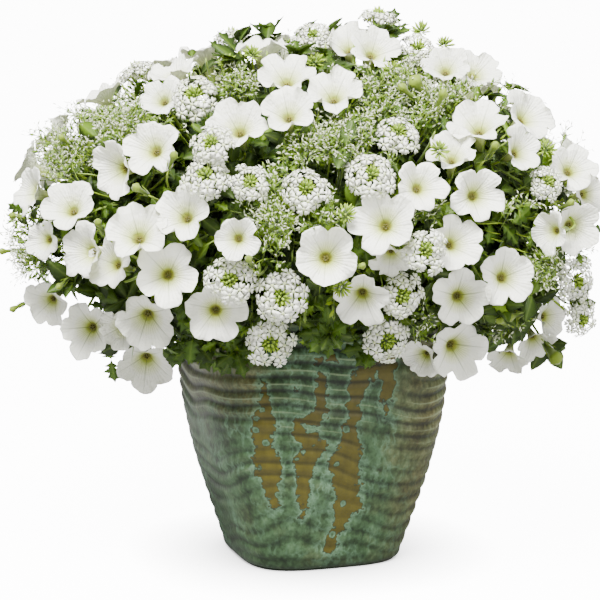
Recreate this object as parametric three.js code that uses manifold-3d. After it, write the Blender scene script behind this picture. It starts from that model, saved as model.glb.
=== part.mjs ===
// A potted petunia: a ripple-glazed, rounded-square pot filled with potting mix, and a mound of white
// petunias with white verbena heads and sprays of white euphorbia standing out of leafy stems.
// Millimetres, +Z up. The origin is the middle of the pot's foot, on the surface that it stands on.
// The front, where the glaze has run, faces -Y.
import * as THREE from "three";
import { mergeVertices } from "three/addons/utils/BufferGeometryUtils.js";
import Module from "manifold-3d";

const wasm = await Module();
wasm.setup();

const degrees = THREE.MathUtils.degToRad;

// Driving dimensions
const GAP = 0.4; // clearance between pieces that touch
const POT = {
  height: 286,
  footHalf: 89, // half the width across the flats, at the foot
  rimHalf: 140, // and at the rim
  fullWidthAt: 250, // height where the wall stops widening
  wall: 9,
  floor: 13,
  squareness: 3.4, // exponent of the rounded square: 2 is round
  turn: degrees(18),
  sides: 24,
  ridges: 18,
  ridgeDepth: [1.0, 2.4], // at the foot and at the rim
  ridgeWave: 3.0, // how far a ridge wanders up and down on its way round
};
const MIX = { level: 258, crown: 7, holeRadius: 5.2, holeDepth: 56 };
const CROWN = { radius: 4.6, sunk: 52, above: 40 }; // the woody foot of each plant, standing in its hole
const CROWNS = [
  [-62, -18],
  [-20, 48],
  [14, -52],
  [58, 26],
  [66, -40],
]; // where the plants rise from the mix, across and back
const BUSH = { across: 222, back: 168, foot: 268, bumps: 0.2, around: 13 };
const BUSH_PROFILE = [
  [0, 0],
  [0.42, 2],
  [0.5, 24],
  [0.86, 40],
  [1, 92],
  [0.9, 168],
  [0.62, 226],
  [0.28, 252],
  [0, 256],
]; // share of the full width, and height above its foot
const MOUND = { across: 330, deep: 262, tall: 200, at: new THREE.Vector3(-7, 0, 377) };
const STALK = { radius: 1.9, mainRadius: 2.8, sunk: 14, flare: 5 };
const SHOOT = { mates: 5, reach: 150 }; // petunias that share a shoot with its first one, and how far off
const PETUNIA = {
  width: 62,
  depth: 44, // from the limb back to the foot of the tube
  base: 2.8,
  throat: 7,
  throatDepth: 17,
  pit: 30,
  skin: 1.2,
  notch: 0.83, // how far out the notches between the lobes reach
  curl: 6,
};
const HEAD = {
  width: 43,
  florets: 5,
  floret: 7.8,
  ring: 13.6, // from the head's middle to a floret's
  hub: 4.6,
  hubFoot: 3.2,
  hubDeep: 12,
  lean: degrees(36),
};
const BUD_HEAD = { spikes: 6, radius: 5, spike: 11, deep: 7 };
const LEAF = { verbena: [44, 23], petunia: [38, 21], thick: 1.6, thickest: 0.48, rise: 0.35, belowTop: 5 };
const SPRAY = { reach: 36, arms: 5, armRadius: 0.8, bracts: 13, bractThick: 1.2 };
const SEAT = { step: 5, aside: 26, tries: 7 }; // how a flower's place and root move until it is clear

// The front view that the places below are read in: a 600-pixel square picture, taken from 3 m away and
// 10 degrees up
const PICTURE = {
  middle: 300,
  mmPerPixel: 1.1,
  distance: 3000,
  rise: degrees(10),
  aim: new THREE.Vector3(-12, 0, 282),
};

// Petunias: across and down in the picture, how far each faces right and up (1 is fully), width, and how much
// nearer than the mound's surface it stands.
const PETUNIAS = [
  [150, 145, -0.3, 0.35, 62, 6],
  [111, 170, -0.72, -0.1, 62, 10],
  [68, 203, -0.25, 0.5, 58, 0],
  [26, 190, -0.8, 0.2, 52, 0],
  [160, 95, -0.3, 0.5, 48, -10],
  [182, 212, -0.25, 0.35, 60, -6],
  [286, 71, -0.05, 0.7, 62, 0],
  [333, 88, -0.05, 0.68, 60, 10],
  [288, 108, -0.05, 0.58, 58, 14],
  [237, 122, -0.15, 0.58, 62, 0],
  [350, 40, 0, 0.7, 58, -16],
  [375, 46, 0.25, 0.6, 56, 6],
  [478, 67, 0.3, 0.62, 56, 0],
  [446, 63, 0, 0.62, 52, -18],
  [478, 119, -0.1, 0.72, 62, 8],
  [531, 112, 0.55, 0.5, 58, 0],
  [524, 149, 0.6, 0.3, 50, 6],
  [573, 165, 0.25, 0.45, 54, 0],
  [592, 192, 0.65, 0.15, 48, -14],
  [577, 228, 0.4, -0.2, 58, 6],
  [452, 150, 0, 0.68, 54, -14],
  [421, 184, 0.22, 0.3, 54, 6],
  [479, 195, 0.32, 0.05, 58, 4],
  [136, 229, -0.1, 0.48, 68, 14],
  [166, 275, -0.05, 0, 66, 12],
  [80, 252, -0.7, 0, 60, 12],
  [108, 262, -0.55, 0.2, 54, -8],
  [46, 305, -0.4, -0.4, 52, 0],
  [85, 330, -0.35, -0.15, 60, 8],
  [145, 324, -0.1, -0.5, 66, -4],
  [118, 331, -0.4, -0.35, 50, -20],
  [145, 368, -0.05, -0.6, 64, 10],
  [215, 314, 0, -0.2, 63, 0],
  [236, 238, -0.15, 0.05, 48, 0],
  [326, 257, 0, 0.05, 67, 4],
  [383, 221, -0.15, 0.25, 67, 4],
  [392, 262, 0.05, -0.75, 46, -4],
  [361, 300, -0.1, -0.42, 58, -2],
  [458, 241, 0.42, 0.22, 58, 0],
  [508, 275, 0.3, 0.15, 60, 4],
  [462, 299, 0.2, -0.15, 62, 2],
  [460, 351, 0.42, -0.3, 66, 8],
  [419, 360, -0.6, -0.45, 46, -8],
  [553, 318, 0.7, -0.1, 48, 0],
  [507, 362, -0.2, -0.8, 46, 4],
  [537, 346, 0.3, -0.7, 46, -4],
  [548, 232, -0.7, -0.1, 46, -6],
  [41, 240, -0.6, 0, 44, -20],
];

// Verbena heads in flower, in the same terms. They move nearer until they are clear of the petunias.
const VERBENAS = [
  [194, 94, -0.2, 0.45, 48, 0],
  [211, 142, -0.2, 0.4, 44, 0],
  [206, 175, -0.1, 0.3, 48, 0],
  [306, 188, 0, 0.3, 46, 0],
  [372, 174, 0.1, 0.35, 48, 0],
  [399, 131, 0.1, 0.5, 44, 0],
  [418, 47, 0.1, 0.5, 42, 0],
  [313, 34, -0.1, 0.5, 38, 0],
  [229, 280, -0.1, 0, 48, 0],
  [281, 297, 0, 0, 50, 0],
  [270, 344, 0, -0.25, 48, 0],
  [387, 342, 0.1, -0.2, 46, 0],
  [426, 250, 0.1, 0.1, 44, 0],
  [402, 296, 0.1, 0, 44, 0],
  [577, 280, 0.35, 0, 46, 0],
  [583, 321, 0.5, -0.3, 40, 0],
  [250, 181, 0, 0.3, 40, 0],
  [548, 182, 0.3, 0.2, 36, 0],
];

// Verbena heads still in bud: across and down, and how far each faces right and up
const BUD_HEADS = [
  [226, 60, -0.1, 0.6],
  [252, 51, 0, 0.7],
  [315, 60, 0, 0.6],
  [392, 68, 0, 0.6],
  [422, 28, 0, 0.7],
  [445, 42, 0.2, 0.6],
  [440, 148, 0.1, 0.4],
  [346, 214, 0, 0.2],
  [341, 288, 0, -0.1],
  [548, 148, 0.4, 0.3],
];

// Pairs of leaves that show between the flowers, in the same terms: toothed verbena leaves, and plain ones
const TOOTHED_LEAVES = [
  [228, 248, 0, 0.1],
  [192, 338, -0.1, -0.2],
  [207, 362, 0, -0.7],
  [334, 322, 0, -0.3],
  [60, 334, -0.5, -0.3],
  [110, 362, -0.2, -0.6],
  [262, 205, 0, 0.3],
  [262, 160, -0.1, 0.4],
  [432, 318, 0.1, -0.3],
  [205, 55, -0.1, 0.7],
  [305, 325, 0, -0.3],
];
const PLAIN_LEAVES = [
  [122, 282, -0.3, 0],
  [345, 145, 0, 0.5],
  [436, 128, 0.1, 0.5],
  [505, 200, 0.4, 0.2],
  [535, 295, 0.6, -0.1],
  [95, 135, -0.5, 0.4],
];

// Euphorbia sprays, in the same terms as the buds
const SPRAYS = [
  [100, 112, -0.4, 0.5],
  [42, 158, -0.7, 0.4],
  [22, 268, -0.8, -0.1],
  [330, 140, 0, 0.5],
  [268, 222, 0, 0.2],
  [447, 100, 0.2, 0.5],
  [512, 220, 0.4, 0.1],
  [555, 262, 0.5, 0],
];
// Petunias, verbena heads and leaves on top of the mound and at its ends, which the picture doesn't show:
// across and back in millimetres, and width
const TOP_PETUNIAS = [
  [-322, 12, 54],
  [-298, 112, 54],
  [-292, 60, 54],
  [-232, -15, 58],
  [-245, 128, 56],
  [-178, 70, 60],
  [-150, -62, 58],
  [-118, 12, 60],
  [-112, 138, 58],
  [-55, -28, 60],
  [-52, 80, 62],
  [5, 28, 58],
  [12, 130, 60],
  [68, 80, 58],
  [130, 55, 60],
  [128, 135, 58],
  [190, 95, 60],
  [262, 125, 54],
  [298, 55, 52],
  [312, -8, 54],
  [288, 112, 52],
];
const TOP_VERBENAS = [
  [-195, 20, 44],
  [-88, 62, 44],
  [70, 18, 44],
];
const TOP_LEAVES = [
  [-215, 55, 30],
  [-20, -5, 30],
  [100, 105, 30],
  [215, 40, 30],
];

// What lies further forward than this, in millimetres, is repeated on the back of the mound
const REPEATED_BEHIND = { petunias: 138, verbenas: 258, budHeads: 240, sprays: 245, leaves: 225 };

// The picture's own axes in the part's frame
const RIGHT = new THREE.Vector3(1, 0, 0);
const PICTURE_UP = new THREE.Vector3(0, Math.sin(PICTURE.rise), Math.cos(PICTURE.rise));
const TO_VIEWER = new THREE.Vector3(0, -Math.cos(PICTURE.rise), Math.sin(PICTURE.rise));
const Z_AXIS = new THREE.Vector3(0, 0, 1);
const GOLDEN_ANGLE = Math.PI * (3 - Math.sqrt(5));
const BEHIND = new THREE.Vector3(1, -1, 1);

/** Draws that are the same on every run, from 0 to 1. */
function seededDraws(seed) {
  let state = seed;
  return () => {
    state = (state * 1664525 + 1013904223) % 4294967296;
    return state / 4294967296;
  };
}

/** The point of the mound's surface that shows at a place in the picture, and how far forward it is. */
function pointOnMound(across, down) {
  const centre = MOUND.at.clone().sub(PICTURE.aim);
  const x = (across - PICTURE.middle) * PICTURE.mmPerPixel;
  const up = (PICTURE.middle - down) * PICTURE.mmPerPixel;
  const reachX = (x - centre.dot(RIGHT)) / MOUND.across;
  const reachUp = (up - centre.dot(PICTURE_UP)) / MOUND.tall;
  const room = Math.max(0, 1 - reachX ** 2 - reachUp ** 2);
  const depth = centre.dot(TO_VIEWER) + MOUND.deep * Math.sqrt(room);
  return { x, up, depth };
}

/** Where a place in the picture lies when it is this far forward of the picture's aim. */
function pointAtDepth({ x, up }, depth) {
  const shrink = 1 - depth / PICTURE.distance;
  return PICTURE.aim
    .clone()
    .addScaledVector(RIGHT, x * shrink)
    .addScaledVector(PICTURE_UP, up * shrink)
    .addScaledVector(TO_VIEWER, depth);
}

/** The direction that faces right and up by these shares, and the viewer with the rest. */
function facingOf(right, up) {
  const toViewer = Math.sqrt(Math.max(0, 1 - right * right - up * up));
  return new THREE.Vector3()
    .addScaledVector(RIGHT, right)
    .addScaledVector(PICTURE_UP, up)
    .addScaledVector(TO_VIEWER, toViewer)
    .normalize();
}

/** Places read in the picture and, where they lie well forward, their repeats on the back of the mound. */
function placed(rows, forwardOf, draw) {
  const front = rows.map(([across, down, right, up, width = 40, lift = 0]) => {
    const place = pointOnMound(across, down);
    const at = (nearer) => pointAtDepth(place, place.depth + lift + nearer);
    return { at, point: at(0), facing: facingOf(right, up), width, depth: place.depth };
  });
  const back = front
    .filter((item) => item.depth > forwardOf)
    .map((item) => {
      const at = (nearer) => item.at(nearer).multiply(BEHIND);
      return { ...item, at, point: at(0), facing: item.facing.clone().multiply(BEHIND) };
    });
  return [...front, ...back].map((item) => ({ ...item, roll: draw() * 2 * Math.PI }));
}

/** Places on the mound seen from above, each facing out of it. */
function placedOnTop(rows, draw) {
  const half = new THREE.Vector3(MOUND.across, MOUND.deep, MOUND.tall);
  return rows.map(([x, y, width]) => {
    const share = new THREE.Vector3(x - MOUND.at.x, y, 0).divide(half);
    share.z = Math.sqrt(Math.max(0.02, 1 - share.lengthSq()));
    const facing = share.clone().divide(half).normalize();
    const surface = share.clone().multiply(half).add(MOUND.at);
    const at = (nearer) => surface.clone().addScaledVector(facing, nearer - width / 8);
    return { at, point: at(0), facing, width, roll: draw() * 2 * Math.PI };
  });
}

// Solids

/** The solid inside a closed skin of triangles, each a list of three points. */
function solidFromTriangles(triangles) {
  const geometry = new THREE.BufferGeometry().setFromPoints(triangles.flat());
  return solidFromGeometry(geometry);
}

function solidFromGeometry(geometry) {
  geometry.deleteAttribute("normal");
  geometry.deleteAttribute("uv");
  const merged = mergeVertices(geometry, 1e-3);
  return new wasm.Manifold(
    new wasm.Mesh({
      numProp: 3,
      vertProperties: merged.attributes.position.array,
      triVerts: new Uint32Array(merged.index.array),
    }),
  );
}

function geometryFromSolid(solid) {
  const { numProp, numVert, vertProperties, triVerts } = solid.getMesh();
  const positions = new Float32Array(numVert * 3);
  for (let i = 0; i < numVert; i++) {
    positions.set(vertProperties.subarray(i * numProp, i * numProp + 3), i * 3);
  }
  const geometry = new THREE.BufferGeometry();
  geometry.setAttribute("position", new THREE.BufferAttribute(positions, 3));
  geometry.setIndex(new THREE.BufferAttribute(triVerts, 1));
  geometry.computeVertexNormals();
  return geometry;
}

const unite = (solids) => wasm.Manifold.union(solids);
const meets = (one, other) => !one.intersect(other).isEmpty();
const largestOf = (bodies) => bodies.reduce((best, body) => (body.volume() > best.volume() ? body : best));

/** A frame at a point whose own +Z faces along a direction, rolled about it. */
function frameAt(origin, facing, roll = 0) {
  const turn = new THREE.Quaternion().setFromUnitVectors(Z_AXIS, facing);
  turn.multiply(new THREE.Quaternion().setFromAxisAngle(Z_AXIS, roll));
  return { origin, turn };
}

/** Points round a frame's axis, from rows of angle, radius and height. */
function ringIn({ origin, turn }, rows) {
  return rows.map(([angle, radius, height]) => {
    const at = new THREE.Vector3(Math.cos(angle) * radius, Math.sin(angle) * radius, height);
    return { angle, at: at.applyQuaternion(turn).add(origin) };
  });
}

const evenly = (count) => Array.from({ length: count }, (_, i) => (i * 2 * Math.PI) / count);
const evenRing = (frame, count, radius, height) =>
  ringIn(
    frame,
    evenly(count).map((angle) => [angle, radius, height]),
  );
const pole = (at) => [{ angle: 0, at }];

/** The triangles of a skin through rings or poles, each ring anticlockwise seen from the last one. */
function skinThrough(rings) {
  const triangles = [];
  const at = (ring, i) => ring[i % ring.length].at;
  const middle = (ring, i) => {
    const angleOf = (j) => ring[j % ring.length].angle + Math.floor(j / ring.length) * 2 * Math.PI;
    return angleOf(i) + angleOf(i + 1);
  };
  for (let i = 0; i + 1 < rings.length; i++) {
    const [low, high] = [rings[i], rings[i + 1]];
    const lowEnd = low.length > 1 ? low.length : 0;
    const highEnd = high.length > 1 ? high.length : 0;
    let j = 0;
    let k = 0;
    while (j < lowEnd || k < highEnd) {
      if (j >= lowEnd || (k < highEnd && middle(high, k) <= middle(low, j))) {
        triangles.push([at(low, j), at(high, k + 1), at(high, k)]);
        k++;
      } else {
        triangles.push([at(low, j), at(low, j + 1), at(high, k)]);
        j++;
      }
    }
  }
  return triangles;
}

// The pot

/** How much further out a rounded square reaches than half its width, in a direction round the pot. */
function squareReach(angle) {
  const across = Math.abs(Math.cos(angle - POT.turn)) ** POT.squareness;
  const along = Math.abs(Math.sin(angle - POT.turn)) ** POT.squareness;
  return (across + along) ** (-1 / POT.squareness);
}

function potHalf(height) {
  const climb = Math.min(1, height / POT.fullWidthAt);
  return POT.footHalf + (POT.rimHalf - POT.footHalf) * Math.sin((climb * Math.PI) / 2);
}

/** Half the width of the pot's inside, which runs straight from floor to half way up, and on to the rim. */
function hollowHalf(height) {
  const inside = (at) => potHalf(at) - POT.wall - 2;
  const half = POT.height / 2;
  const [from, to] = height < half ? [POT.floor, half] : [half, POT.height];
  return THREE.MathUtils.mapLinear(height, from, to, inside(from), inside(to));
}

/** Turns a profile of half widths and heights into a rounded square, whose outer ridges wander in height. */
function squareLathe(profile, sides) {
  const geometry = new THREE.LatheGeometry(
    profile.map(([half, height]) => new THREE.Vector2(half, height)),
    sides,
  );
  const at = geometry.attributes.position;
  for (let i = 0; i < at.count; i++) {
    const [x, height, z] = [at.getX(i), at.getY(i), at.getZ(i)];
    const radius = Math.hypot(x, z);
    const angle = Math.atan2(-z, x);
    const reach = radius * squareReach(angle);
    const isRidge = radius > potHalf(height) - POT.wall / 2;
    const wave = Math.sin(2 * angle + height / 40) + 0.6 * Math.sin(3 * angle - height / 25);
    const wander = isRidge ? POT.ridgeWave * Math.sin((Math.PI * height) / POT.height) * wave : 0;
    at.setXYZ(i, reach * Math.cos(angle), reach * Math.sin(angle), height + wander);
  }
  return solidFromGeometry(geometry);
}

function potSolid() {
  const pitch = POT.height / (POT.ridges + 0.5);
  const ridges = Array.from({ length: POT.ridges }, (_, i) => {
    const depth = THREE.MathUtils.lerp(...POT.ridgeDepth, i / (POT.ridges - 1));
    const crest = (i + 0.6) * pitch;
    const groove = crest + pitch / 2;
    return [
      [potHalf(crest), crest],
      [potHalf(groove) - depth, groove],
    ];
  }).flat();
  return squareLathe([
    [0, 0],
    [POT.footHalf - 4, 0],
    ...ridges,
    [POT.rimHalf, POT.height - 3],
    [POT.rimHalf - 3, POT.height],
    [hollowHalf(POT.height), POT.height],
    [hollowHalf(POT.height / 2), POT.height / 2],
    [hollowHalf(POT.floor), POT.floor],
    [0, POT.floor],
  ], POT.sides);
}

/** A six-sided post at one plant's place, between two heights. */
function crownPost([x, y], radius, from, to) {
  const geometry = new THREE.CylinderGeometry(radius, radius, to - from, 6);
  geometry.rotateX(Math.PI / 2);
  geometry.translate(x, y, (from + to) / 2);
  return solidFromGeometry(geometry);
}

/** The potting mix fills the pot, clear of its wall, with a plain hole for each plant. */
function mixSolid() {
  const inner = (height) => hollowHalf(height) - 1.2 * GAP;
  const body = squareLathe([
    [0, POT.floor + GAP],
    [inner(POT.floor), POT.floor + GAP],
    [inner(POT.height / 2), POT.height / 2],
    [inner(MIX.level), MIX.level],
    [inner(MIX.level) * 0.6, MIX.level + MIX.crown * 0.7],
    [0, MIX.level + MIX.crown],
  ], POT.sides / 2);
  const holes = CROWNS.map((at) => crownPost(at, MIX.holeRadius, MIX.level - MIX.holeDepth, POT.height));
  return body.subtract(unite(holes));
}

// The dense middle of the foliage

/** The bush's share of its full width at a height, zero outside it. */
function bushShare(height) {
  const rise = height - BUSH.foot;
  const i = BUSH_PROFILE.findIndex(([, top]) => top > rise);
  if (i <= 0) return 0;
  const [[fromShare, from], [toShare, to]] = [BUSH_PROFILE[i - 1], BUSH_PROFILE[i]];
  return THREE.MathUtils.mapLinear(rise, from, to, fromShare, toShare);
}

function isInBush({ x, y, z }) {
  return Math.hypot(x / BUSH.across, y / BUSH.back) < 0.93 * bushShare(z);
}

/** The core that leafy stems stand out of, smaller than the mound all round. */
function bushSolid() {
  const draw = seededDraws(5);
  const frame = frameAt(new THREE.Vector3(0, 0, BUSH.foot), Z_AXIS);
  const rings = BUSH_PROFILE.map(([share, height]) => {
    if (share === 0) return pole(new THREE.Vector3(0, 0, BUSH.foot + height));
    const bumpy = () => share * (1 + BUSH.bumps * (draw() - 0.5));
    return ringIn(
      frame,
      evenly(BUSH.around).map((angle) => [angle, bumpy(), height]),
    );
  });
  rings.flat().forEach(({ at }) => at.multiply(new THREE.Vector3(BUSH.across, BUSH.back, 1)));
  return solidFromTriangles(skinThrough(rings));
}

/** Where a stalk to a point outside the bush is rooted in it: low blooms from above, high ones from below. */
function rootOf(target, aside = new THREE.Vector3()) {
  const inward = THREE.MathUtils.clamp(THREE.MathUtils.mapLinear(target.z, 230, 560, 0.86, 0.5), 0.5, 0.86);
  const aim = new THREE.Vector3(target.x * inward, target.y * inward, 400).add(aside);
  while (!isInBush(aim)) {
    aim.set(aim.x * 0.97, aim.y * 0.97, aim.z - Math.sign(aim.z - 380) * 3);
  }
  const way = target.clone().sub(aim);
  let share = 0;
  while (share < 1 && isInBush(aim.clone().addScaledVector(way, share + 0.02))) share += 0.02;
  const surface = aim.clone().addScaledVector(way, share);
  return surface.addScaledVector(way.normalize(), -Math.min(STALK.sunk, surface.distanceTo(aim)));
}

// Flowers

/** Half way along a stalk that curves from its root to arrive along a facing. */
function stalkMiddle(root, end, facing) {
  const bend = end.clone().addScaledVector(facing, -0.45 * root.distanceTo(end));
  return new THREE.QuadraticBezierCurve3(root, bend, end).getPoint(0.5);
}

/** A frame's turn, bent to face from a stalk's root to its end. */
function bentAlong(root, end, turn) {
  const facing = Z_AXIS.clone().applyQuaternion(turn);
  const along = end.clone().sub(root).normalize();
  return new THREE.Quaternion().setFromUnitVectors(facing, along).multiply(turn);
}

/** The rings of a three-sided stalk that tapers to a point at its root in the bush. */
function stalkRings(root, end, turn, radius, grow) {
  const middle = stalkMiddle(root, end, Z_AXIS.clone().applyQuaternion(turn));
  const tip = root.clone().addScaledVector(root.clone().sub(middle).normalize(), 5 * grow);
  return [pole(tip), evenRing({ origin: middle, turn: bentAlong(root, end, turn) }, 3, radius + 2 * grow, 0)];
}

/** The rings of a stalk that branches off another: it widens at once from a point on the other's axis. */
function branchRings(root, end, turn, radius, grow) {
  const along = end.clone().sub(root).normalize();
  const origin = root.clone().addScaledVector(along, STALK.flare);
  return [pole(root), evenRing({ origin, turn: bentAlong(root, end, turn) }, 3, radius + 2 * grow, 0)];
}

/** One petunia on its stalk: a funnel with five broad lobes. grow thickens it on all sides. */
function petuniaSolid({ point, facing, width, roll, root, isMain }, grow = 0) {
  const draw = seededDraws(Math.round(point.x * 7 + point.z * 13 + 9999));
  const frame = frameAt(point, facing, roll);
  const size = width / PETUNIA.width;
  const [throat, throatDepth] = [PETUNIA.throat * size, PETUNIA.throatDepth * size];
  const rim = evenly(5).flatMap((lobe) => {
    const curl = (draw() - 0.5) * PETUNIA.curl * size;
    return [
      [lobe - 0.3, width / 2, curl],
      [lobe + 0.3, width / 2, curl * 0.3],
      [lobe + Math.PI / 5, (width / 2) * PETUNIA.notch, -1.5],
    ];
  });
  const rimRing = (raised) =>
    ringIn(
      frame,
      rim.map(([angle, radius, height]) => [angle, radius + 2 * grow, height + raised]),
    );
  const end = point.clone().addScaledVector(facing, -PETUNIA.depth * size);
  const foot = { origin: end, turn: frame.turn.clone().slerp(bentAlong(root, end, frame.turn), 0.5) };
  const rims = grow > 0 ? [rimRing(-grow), rimRing(grow)] : [rimRing(0)];
  return solidFromTriangles(
    skinThrough([
      ...(isMain
        ? stalkRings(root, end, frame.turn, STALK.mainRadius, grow)
        : branchRings(root, end, frame.turn, STALK.radius, grow)),
      evenRing(foot, 5, PETUNIA.base + 1.3 * grow, 0),
      evenRing(frame, 5, throat + PETUNIA.skin + 1.3 * grow, -throatDepth - grow),
      ...rims,
      evenRing(frame, 5, throat, -throatDepth + 2 * PETUNIA.skin + grow),
      pole(point.clone().addScaledVector(facing, -PETUNIA.pit * size + 3 * grow)),
    ]),
  );
}

/** A verbena head on its stalk: star florets whose tubes leave the sides of a pointed hub. */
function headSolid({ point, facing, width, roll, root }, grow = 0) {
  const size = width / HEAD.width;
  const frame = frameAt(point, facing, roll);
  const foot = evenRing(frame, HEAD.florets, HEAD.hubFoot * size + grow, -HEAD.hubDeep * size - grow);
  const top = evenRing(frame, HEAD.florets, HEAD.hub * size + grow, -3 * size + grow);
  const end = point.clone().addScaledVector(facing, -HEAD.hubDeep * size);
  const triangles = skinThrough([...stalkRings(root, end, frame.turn, STALK.radius, grow), foot]);
  const bud = point.clone().addScaledVector(facing, 3 * size + grow);
  for (let i = 0; i < HEAD.florets; i++) {
    const next = (i + 1) % HEAD.florets;
    const angle = ((i + 0.5) * 2 * Math.PI) / HEAD.florets;
    const lean = HEAD.lean + (i % 2 ? 0.2 : -0.2);
    const [ahead] = ringIn(frame, [[angle, HEAD.ring * size, i % 2 ? -2.5 * size : 1 * size]]);
    const [out] = ringIn({ origin: new THREE.Vector3(), turn: frame.turn }, [[angle, 1, 0]]);
    const face = facing.clone().multiplyScalar(Math.cos(lean)).addScaledVector(out.at, Math.sin(lean));
    const wall = [foot[i], foot[next], top[next], top[i]].map(({ at }) => at);
    triangles.push(...floretSkin(wall, frameAt(ahead.at, face, angle), HEAD.floret * size, grow));
    triangles.push([top[i].at, top[next].at, bud]);
  }
  return solidFromTriangles(triangles);
}

/** The skin of one five-petalled floret and its tube, from a wall of the hub to its eye. */
function floretSkin(wall, frame, radius, grow) {
  const undo = frame.turn.clone().invert();
  const centre = wall.reduce((sum, at) => sum.add(at), new THREE.Vector3()).divideScalar(wall.length);
  const seen = wall.map((at) => {
    const local = at.clone().sub(centre).applyQuaternion(undo);
    return { at, angle: (Math.atan2(local.y, local.x) + 2 * Math.PI) % (2 * Math.PI) };
  });
  seen.sort((a, b) => a.angle - b.angle);
  const star = (raised) => {
    const tips = evenly(10).map((angle, i) => {
      const [share, rise] = i % 2 ? [0.6, 0.3] : [1, 0];
      return [angle, share * radius + 2 * grow, rise + raised];
    });
    return ringIn(frame, tips);
  };
  const stars = grow > 0 ? [star(-grow), star(grow)] : [star(0)];
  const eye = new THREE.Vector3(0, 0, 0.9 + grow).applyQuaternion(frame.turn).add(frame.origin);
  return skinThrough([seen, ...stars, pole(eye)]);
}

// Greenery

/** A thin three-sided stem that leaves a root and ends in a point, arriving along a facing. */
function stemSolid(root, end, facing, radius, grow = 0) {
  const { turn } = frameAt(end, facing);
  const near = end.clone().addScaledVector(facing, -0.3 * root.distanceTo(end));
  return solidFromTriangles(
    skinThrough([
      ...stalkRings(root, near, turn, radius, grow),
      evenRing({ origin: near, turn }, 3, radius * 0.8 + 2 * grow, 0),
      pole(end.clone().addScaledVector(facing, 3 * grow)),
    ]),
  );
}

/** A lens-shaped blade from its root, growing along one way and facing another, with teeth or plain edges. */
function bladeSolid(root, along, facing, [length, width], side) {
  const outline = [[0, 0], ...side, [0, 1], ...side.toReversed().map(([x, y]) => [-x, y])];
  const arch = (y) => -0.15 * length * y * y;
  const yAxis = along.clone().normalize();
  const xAxis = yAxis.clone().cross(facing).normalize();
  const turn = new THREE.Matrix4().makeBasis(xAxis, yAxis, xAxis.clone().cross(yAxis)).setPosition(root);
  const at = (x, y, z) => new THREE.Vector3(x, y, z).applyMatrix4(turn);
  const edge = outline.map(([x, y]) => at((x * width) / 2, y * length, arch(y) + 0.1 * Math.abs(x) * width));
  const [under, over] = [-LEAF.thick / 2, LEAF.thick / 2].map((raised) => {
    return at(0, LEAF.thickest * length, arch(LEAF.thickest) + raised);
  });
  const triangles = edge.flatMap((corner, i) => {
    const next = edge[(i + 1) % edge.length];
    return [
      [corner, next, over],
      [next, corner, under],
    ];
  });
  return solidFromTriangles(triangles);
}

const TOOTHED = [
  [0.95, 0.32],
  [0.6, 0.48],
  [0.72, 0.68],
];
const OVATE = [
  [0.88, 0.28],
  [0.86, 0.62],
];

/** A verbena head in bud on its stem: a ring of spikes round a small pointed core. */
function budHeadSolid({ point, facing, roll, root }) {
  const frame = frameAt(point, facing, roll);
  const spikes = evenly(2 * BUD_HEAD.spikes).map((angle, i) => {
    const [radius, share] = i % 2 ? [BUD_HEAD.radius, 0.2] : [BUD_HEAD.spike, 0.6];
    return [angle, radius, share * BUD_HEAD.deep];
  });
  const foot = point.clone().addScaledVector(facing, -BUD_HEAD.deep);
  return solidFromTriangles(
    skinThrough([
      ...stalkRings(root, foot, frame.turn, STALK.radius, 0),
      evenRing(frame, 3, BUD_HEAD.radius * 0.7, -BUD_HEAD.deep),
      ringIn(frame, spikes),
      pole(point.clone().addScaledVector(facing, BUD_HEAD.deep)),
    ]),
  );
}

/** A stem that ends in a pair of leaves, as separate solids that cross at its top. */
function leafyStem({ point, facing, roll, root, isToothed }) {
  const blades = [0, Math.PI].map((turn) => {
    const { turn: quaternion } = frameAt(point, facing, roll + turn);
    const along = new THREE.Vector3(1, 0, LEAF.rise).normalize().applyQuaternion(quaternion);
    const base = point.clone().addScaledVector(facing, -LEAF.belowTop).addScaledVector(along, -1);
    const [size, side] = isToothed ? [LEAF.verbena, TOOTHED] : [LEAF.petunia, OVATE];
    return bladeSolid(base, along, facing, size, side);
  });
  return [stemSolid(root, point, facing, STALK.radius), ...blades];
}

/** A euphorbia spray: thin arms that leave a stalk one above the other, each ending in a pair of bracts. */
function sprayParts({ point, facing, root, roll }, grow = 0) {
  const fork = point.clone().addScaledVector(facing, -SPRAY.reach * 0.6);
  const { turn } = frameAt(fork, facing, roll);
  const stalk = stemSolid(root, fork.clone().addScaledVector(facing, 4), facing, STALK.radius, grow);
  const arms = Array.from({ length: SPRAY.arms }, (_, i) => {
    const lean = 0.15 + 0.95 * Math.sqrt(i / SPRAY.arms);
    const out = new THREE.Vector3(0, Math.sin(lean), Math.cos(lean));
    out.applyAxisAngle(Z_AXIS, i * GOLDEN_ANGLE).applyQuaternion(turn);
    const foot = fork.clone().addScaledVector(facing, -3 * i);
    const tip = fork.clone().addScaledVector(out, SPRAY.reach * (i % 2 ? 1 : 0.8));
    const wing = SPRAY.bracts / 2 + 2 * grow;
    const thin = SPRAY.bractThick / 2 + 2 * grow;
    const armRing = (origin) => evenRing(frameAt(origin, out, i), 3, SPRAY.armRadius + 2 * grow, 0);
    const bracts = evenly(4).map((angle, j) => [angle, j % 2 ? thin : wing, 0]);
    return solidFromTriangles(
      skinThrough([
        pole(foot),
        armRing(foot.clone().addScaledVector(out, 3.5)),
        armRing(tip.clone().addScaledVector(out, -5)),
        ringIn(frameAt(tip, out, i), bracts),
        pole(tip.clone().addScaledVector(out, 4 + 2 * grow)),
      ]),
    );
  });
  return { stalk, arms };
}

// Placing the flowers and leaves, each clear of what stands there already

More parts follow.
